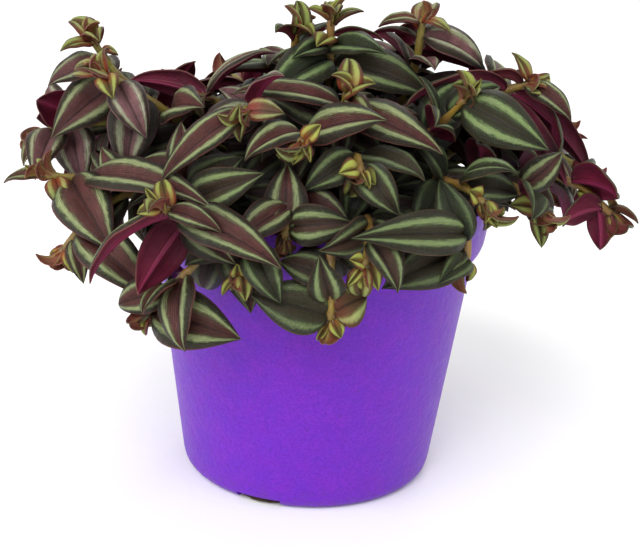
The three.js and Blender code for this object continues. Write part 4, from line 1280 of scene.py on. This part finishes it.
def leafPaintedShade(leaf, share):
    # Painted shade: 0 where a leaf lies in the open, 1 where others all round it keep the light away
    settings = shadeSettings
    point, aside, normal = leafFrame(leaf, share)
    turn = up.rotation_difference((point - domeMiddle).normalized())
    least = 1
    for side in (normal, -normal):
        hidden = 0
        for ray in sky:
            way = turn @ ray
            way -= side * min(0, 2 * way.dot(side))  # kept on this side of the blade
            start = point + side * settings["start"]
            hits = [tree.ray_cast(start, way, settings["reach"])[3] for tree in mound]
            near = min((hit for hit in hits if hit is not None), default=None)
            if near is not None:
                hidden += 1 - settings["farther"] * near / settings["reach"]
        least = min(least, hidden / len(sky))
    return min(1, max(0, (least - settings["open"]) / (settings["closed"] - settings["open"])))


# The fine leaf on its plain one: two crowned halves, a channel over the midrib, waved margins
def leafPoint(leaf, share, across):
    point, aside, normal = leafFrame(leaf, share)
    settings = leafSettings
    apart = abs(across)
    half = outline(share) * leaf["width"] / 2
    crown = settings["bulge"] * half * math.sin(math.pi * min(1, apart * settings["bulgeReach"]))
    channel = -settings["groove"] * math.exp(-((apart * half / settings["grooveWidth"]) ** 2))
    channel *= min(1, half / 2)
    turns = leaf["waves"] * share + leaf["phase"] + (settings["waveShift"] if across > 0 else 0)
    wave = settings["wave"] * half * apart**2 * math.sin(2 * math.pi * turns)
    turned = -settings["recurve"] * half * apart**4
    hook = -settings["tipHook"] * leaf["length"] * max(0, share - settings["hookFrom"]) ** 2
    twist = leaf["curl"] * share * share
    over = (aside * math.cos(twist) + normal * math.sin(twist)) * (1 if across >= 0 else -1)
    above = normal * math.cos(twist) - aside * math.sin(twist)
    return (point + over * (apart * half * math.cos(leaf["fold"]))
            + above * (apart * half * math.sin(leaf["fold"]) + (crown + channel + wave + turned))
            + normal * (hook + settings["thickness"] / 2))


def leafLayers(bm):
    floats = bm.verts.layers.float
    return {name: floats.get(name) or floats.new(name)
            for name in ("leafYouth", "leafTone", "leafStripe", "leafPaintedShade", "uvAlong", "uvAcross")}


def isBack(face, upper):
    # A rim face shares an edge with the upper sheet
    return not any(other in upper for edge in face.edges for other in edge.link_faces)


def leanInside(verts, along):
    # Leans a leaf that would stand out of the CAD's box back into it, more towards its tip
    for i in range(3):
        low, high = boxLow[i] + leafSettings["boxGap"], boxHigh[i] - leafSettings["boxGap"]
        under = max(0, max(low - vert.co[i] for vert in verts))
        over = max(0, max(vert.co[i] - high for vert in verts))
        if under or over:
            for vert in verts:
                vert.co[i] += (under - over) * min(1, leafSettings["leanEase"] * vert[along])


def addLeaf(bm, leaf, look):
    layers, settings = leafLayers(bm), leafSettings
    plain = leaf["length"] < settings["plainLength"] or "fill" in leaf
    steps = settings["plainSteps" if plain else "steps"]
    # Painted shade, measured at a few places along the leaf and spread over its points
    paintedShades = [leafPaintedShade(leaf, share) for share in settings["shadeShares"]]
    verts = bmesh.ops.create_grid(bm, x_segments=steps[0], y_segments=steps[1], size=1)["verts"]
    faces = list(dict.fromkeys(face for vert in verts for face in vert.link_faces))
    for vert in verts:
        t = (vert.co.x + 1) / 2
        share = 0.5 * t + 0.25 * (1 - math.cos(math.pi * t))
        across = -math.copysign(abs(vert.co.y) ** settings["crossEase"], vert.co.y)
        place = share * (len(paintedShades) - 1)
        step = min(len(paintedShades) - 2, int(place))
        depth = paintedShades[step] + (paintedShades[step + 1] - paintedShades[step]) * (place - step)
        for name, value in {**look, "leafPaintedShade": depth, "uvAlong": share, "uvAcross": across}.items():
            vert[layers[name]] = value
        vert.co = leafPoint(leaf, share, across)
    bmesh.ops.remove_doubles(bm, verts=verts, dist=settings["weld"])
    faces = [face for face in faces if face.is_valid]
    upper = set(faces)
    shell = bmesh.ops.solidify(bm, geom=faces, thickness=settings["thickness"])["geom"]
    shell = [item for item in shell if isinstance(item, bmesh.types.BMFace) and item not in upper]
    leanInside({vert for face in faces + shell for vert in face.verts}, layers["uvAlong"])
    bm.normal_update()
    # The rim keeps the upper side's colours: only what faces down is the leaf's back
    return {face for face in shell if isBack(face, upper)}


def uvFromLayers(bm):
    # Each corner takes its place on the leaf; a leaf's end points take their neighbours' place across
    layers = leafLayers(bm)
    along, across = layers["uvAlong"], layers["uvAcross"]
    uv = bm.loops.layers.uv.new("UVMap")
    first, last = leafSettings["ends"]
    for face in bm.faces:
        inner = [loop.vert[across] for loop in face.loops if first < loop.vert[along] < last]
        middle = sum(inner) / len(inner) if inner else 0
        for loop in face.loops:
            ended = not first < loop.vert[along] < last
            loop[uv].uv = (loop.vert[along], 0.5 + 0.5 * (middle if ended else loop.vert[across]))
    for layer in (along, across):
        bm.verts.layers.float.remove(layer)


def addStem(bm, stem, tone):
    layers, settings = leafLayers(bm), stemSettings
    way = stem.smoothWay()
    gone = lengthsTo(way)
    knots = [gone[min(range(len(way)), key=lambda i: (way[i] - leaf["base"]).length)] for leaf in stem.leaves]
    axis = (way[1] - way[0]).normalized()
    aside = axis.orthogonal().normalized()
    ring = bmesh.ops.create_circle(bm, segments=settings["sides"], radius=1, cap_ends=False)["verts"]
    unit = [vert.co.copy() for vert in ring]

    def setRing(verts, i):
        share = gone[i] / gone[-1]
        swell = sum(math.exp(-(((gone[i] - knot) / settings["knotLength"]) ** 2)) for knot in knots)
        radius = settings["footRadius"] + (settings["tipRadius"] - settings["footRadius"]) * share**1.5
        radius += settings["knot"] * min(1, swell)
        if i == len(way) - 1:
            radius *= settings["tipTaper"]
        other = axis.cross(aside)
        youth = max(0, 1 - (gone[-1] - gone[i]) / settings["youngLength"])
        for vert, spot in zip(verts, unit):
            vert.co = way[i] + aside * (spot.x * radius) + other * (spot.y * radius)
            for name, value in (("leafYouth", youth), ("leafTone", tone), ("leafStripe", min(1, swell))):
                vert[layers[name]] = value

    setRing(ring, 0)
    edges = list(dict.fromkeys(edge for vert in ring for edge in vert.link_edges))
    bmesh.ops.contextual_create(bm, geom=edges)
    for i in range(1, len(way)):
        axis = (way[min(i + 1, len(way) - 1)] - way[i - 1]).normalized()
        aside = (aside - axis * aside.dot(axis)).normalized()
        made = bmesh.ops.extrude_edge_only(bm, edges=edges)["geom"]
        edges = [item for item in made if isinstance(item, bmesh.types.BMEdge) and item.is_boundary]
        setRing([item for item in made if isinstance(item, bmesh.types.BMVert)], i)
    bmesh.ops.contextual_create(bm, geom=edges)
    bmesh.ops.recalc_face_normals(bm, faces=bm.faces)


# The growing tip: small cupped leaves in the free places round it and a rolled one in the middle
tipSettings = {
    "leaves": 3,
    "near": 6.0,  # leaves this near to the tip take up a place round it
    "lengths": (8.5, 12.0),
    "breadth": (0.76, 0.95),
    "swing": (22, 72),
    "backs": (0.4, 4.5),
    "arch": (80, 125),
    "fold": (24, 38),
    "sag": 0.15,
    "smaller": 0.25,  # how much smaller the last is than the first
    "away": 0.5,
    "shrink": 0.85,  # a leaf that stands in the way is shrunk in steps, down to the least length
    "least": 4.0,
    "leastInside": 3.0,
    "room": (0.3, 0.6),  # kept inside the CAD's box: a share of the width, and more
    "bud": {"length": 5.0, "width": 2.4, "lean": 0.2, "sunk": 1.2, "arch": 30, "fold": 68, "shrink": 0.8,
            "least": 2.0},
}


def insideBox(leaf):
    points = [leafFrame(leaf, share)[0] for share in (0.5, 0.8, 1)]
    share, more = tipSettings["room"]
    room = leaf["width"] * share + more
    return all(boxLow[i] + room < point[i] < boxHigh[i] - room for point in points for i in range(3))


def crossesOthers(stem, leaf):
    own = searchTree((), (leaf,), fillSettings["skin"])[0]
    return any(own.overlap(other.tree) for other in plants if other is not stem)


def tipLeaves(stem, chance):
    settings = tipSettings
    along = stem.tangent(1)
    side = along.orthogonal().normalized()
    other = along.cross(side)
    taken = [math.atan2(leaf["chord"].dot(other), leaf["chord"].dot(side)) for leaf in stem.leaves
             if leaf["back"] < settings["near"]]
    grown = []
    for n in range(settings["leaves"]):
        ring = sorted(taken) or [0.0]
        gaps = [(ring[(i + 1) % len(ring)] - ring[i]) % (2 * math.pi) or 2 * math.pi for i in range(len(ring))]
        widest = max(range(len(ring)), key=lambda i: gaps[i])
        angle = ring[widest] + gaps[widest] * chance.uniform(0.4, 0.6)
        taken.append(math.atan2(math.sin(angle), math.cos(angle)))
        swing = math.radians(chance.uniform(*settings["swing"]))
        away = side * math.cos(angle) + other * math.sin(angle)
        chord = (along * math.cos(swing) + away * math.sin(swing) - up * settings["sag"]).normalized()
        back = chance.uniform(*settings["backs"])
        face = along - chord * along.dot(chord)
        length = chance.uniform(*settings["lengths"]) * (1 - settings["smaller"] * n / settings["leaves"])
        leaf = {"base": stem.spotBack(back)[0] + away * settings["away"], "chord": chord,
                "face": face.normalized(), "length": length,
                "width": length * chance.uniform(*settings["breadth"]), "back": back,
                "arch": math.radians(chance.uniform(*settings["arch"])),
                "fold": math.radians(chance.uniform(*settings["fold"]))}
        while not insideBox(leaf) and leaf["length"] > settings["leastInside"]:
            leaf["length"] *= settings["shrink"]
            leaf["width"] *= settings["shrink"]
        while crossesOthers(stem, leaf) and leaf["length"] > settings["least"]:
            leaf["length"] *= settings["shrink"]
            leaf["width"] *= settings["shrink"]
        if leaf["length"] > settings["least"] or not crossesOthers(stem, leaf):
            grown.append(leaf)
    look = settings["bud"]
    chord = (along + side * look["lean"]).normalized()
    bud = {"base": stem.at(1) - along * look["sunk"], "chord": chord,
           "face": (other - chord * other.dot(chord)).normalized(), "length": look["length"],
           "width": look["width"], "arch": math.radians(look["arch"]), "fold": math.radians(look["fold"]),
           "back": 0}
    while not insideBox(bud) and bud["length"] > look["least"]:
        bud["length"] *= look["shrink"]
    return grown + [bud]


hairSettings = {
    "perNode": 9,
    "spread": (-1.6, 1.2),  # mm along the stem, about the node
    "leastBack": 0.5,
    "lengths": (1.0, 2.1),
    "radius": 0.055,
    "pointRadius": 0.01,
    "away": 1.3,  # from the stem's middle
    "lean": (20, 80),  # degrees away from the stem
}


def addHairs(bm, stem, chance):
    # Sparse hairs on the sheath round each node
    settings = hairSettings
    for leaf in stem.leaves:
        along = stem.spotBack(leaf["back"])[1]
        side = along.orthogonal().normalized()
        for _ in range(settings["perNode"]):
            back = leaf["back"] + chance.uniform(*settings["spread"])
            spot = stem.spotBack(max(settings["leastBack"], back))[0]
            away = turnAbout(side, along, chance.uniform(0, 2 * math.pi))
            lean = math.radians(chance.uniform(*settings["lean"]))
            way = along * math.cos(lean) + away * math.sin(lean)
            length = chance.uniform(*settings["lengths"])
            made = bmesh.ops.create_cone(bm, segments=3, radius1=settings["radius"],
                                         radius2=settings["pointRadius"], depth=length, cap_ends=True)["verts"]
            turn = way.to_track_quat("Z", "Y").to_matrix().to_4x4()
            place = Matrix.Translation(spot + away * settings["away"] + way * (length / 2)) @ turn
            bmesh.ops.transform(bm, matrix=place, verts=made)


# Tones of the stems that stand out: 0 is silvery pink, the middle burgundy and 1 green
leafTones = {
    "left_mid": 0.0, "left_inner": 0.1, "left_bow": 0.05, "left_high": 0.08, "left_top": 0.05,
    "front_arch": 0.35, "left_far": 0.32, "left_low": 0.4, "crown": 0.95, "crown_left": 0.8,
    "high_front": 0.5, "front_mid": 0.8, "right_low": 0.92, "left_front": 0.7, "high_right": 0.1,
    "right_face": 0.95, "front_low": 0.6, "front_hang": 0.7, "front_right": 0.8, "front_curl": 0.8,
    "left_hang": 0.6, "right_under": 0.85, "right_small": 0.9,
}


def makeStemPiece(stem):
    chance = random.Random(stemSettings["seed"] + stem.number)
    bm = bmesh.new()
    stemTone = leafTones.get(stem.name, chance.random())
    addStem(bm, stem, stemTone)
    tube = set(bm.faces)
    unders, same = set(), leafSettings["sameTone"]
    for leaf in stem.leaves + tipLeaves(stem, chance):
        leaf["phase"] = chance.random()
        leaf["waves"] = chance.uniform(*leafSettings["waves"])
        leaf["curl"] = math.radians(chance.uniform(*leafSettings["curl"]))
        grown = (leaf["length"] - leafSettings["youngest"]) / leafSettings["youngLength"]
        unders |= addLeaf(bm, leaf, {
            "leafYouth": min(1, max(0, 1 - grown)) * chance.uniform(*leafSettings["youth"]),
            "leafTone": same * stemTone + (1 - same) * chance.random(),
            "leafStripe": chance.random(),
        })
    leafy = set(bm.faces)
    addHairs(bm, stem, chance)
    for face in bm.faces:
        face.material_index = 2 if face in tube else 3 if face not in leafy else 1 if face in unders else 0
    uvFromLayers(bm)
    smooth(bm)
    makePiece("leafy_stem_" + stem.name, bm, "foliage", leafMaterials, "stem_" + stem.name)


# Floor and light, in metres
studioSettings = {
    "floorSize": 6.0,
    "world": 0.66,
    "sun": {"from": (-0.2, -0.92, 0.84), "strength": 1.88, "angle": 34.0},
    "lampAim": (0, 0, 0.09),
    "lamps": {
        "left": {"at": (-0.85, -0.45, 0.5), "size": 0.8, "power": 5.0},
        "right": {"at": (0.95, -0.4, 0.45), "size": 0.8, "power": 2.2},
        "back": {"at": (0.3, 0.9, 0.9), "size": 0.7, "power": 3.0},
    },
}


def makeStudio():
    settings = studioSettings
    bm = bmesh.new()
    bmesh.ops.create_grid(bm, x_segments=4, y_segments=4, size=settings["floorSize"] / 2 / mm)
    floor = addObject("floor", meshFrom("floor", bm))
    floor.data.materials.append(plainMaterial("pale_floor"))
    world = bpy.data.worlds.new("studio")
    world.use_nodes = True
    background = world.node_tree.nodes["Background"].inputs
    background[0].default_value, background[1].default_value = (1, 1, 1, 1), settings["world"]
    bpy.context.scene.world = world
    sun = bpy.data.lights.new("sun", "SUN")
    sun.energy, sun.angle = settings["sun"]["strength"], math.radians(settings["sun"]["angle"])
    aim = -Vector(settings["sun"]["from"])
    addObject("sun", sun).rotation_euler = aim.to_track_quat("-Z", "Y").to_euler()
    for name, light in settings["lamps"].items():
        lamp = bpy.data.lights.new(name, "AREA")
        lamp.shape, lamp.size, lamp.energy = "DISK", light["size"], light["power"]
        item = addObject(name, lamp)
        item.location = light["at"]
        aim = Vector(settings["lampAim"]) - Vector(light["at"])
        item.rotation_euler = aim.to_track_quat("-Z", "Y").to_euler()
    bpy.context.scene.view_settings.view_transform = "Standard"


for stem in plants:
    matchLeaves(stem)
print("leaves matched:", sum(len(stem.leaves) for stem in plants))

mound = fillMound()
for stem in plants:
    added = [leaf for leaf in stem.leaves if "fill" in leaf]
    stem.tree = searchTree((stem.node,), added, fillSettings["skin"])[0]

leafMaterials = [leafFaceMaterial(), leafBackMaterial(), stemMaterial(), plainMaterial("plant_hair")]
print("materials made")

for stem in plants:
    makeStemPiece(stem)
print("leafy stems made:", len(plants))

makePot()
print("pot made")

makeSoil()
print("soil made")

makeStudio()
makeCamera()
print("studio made")
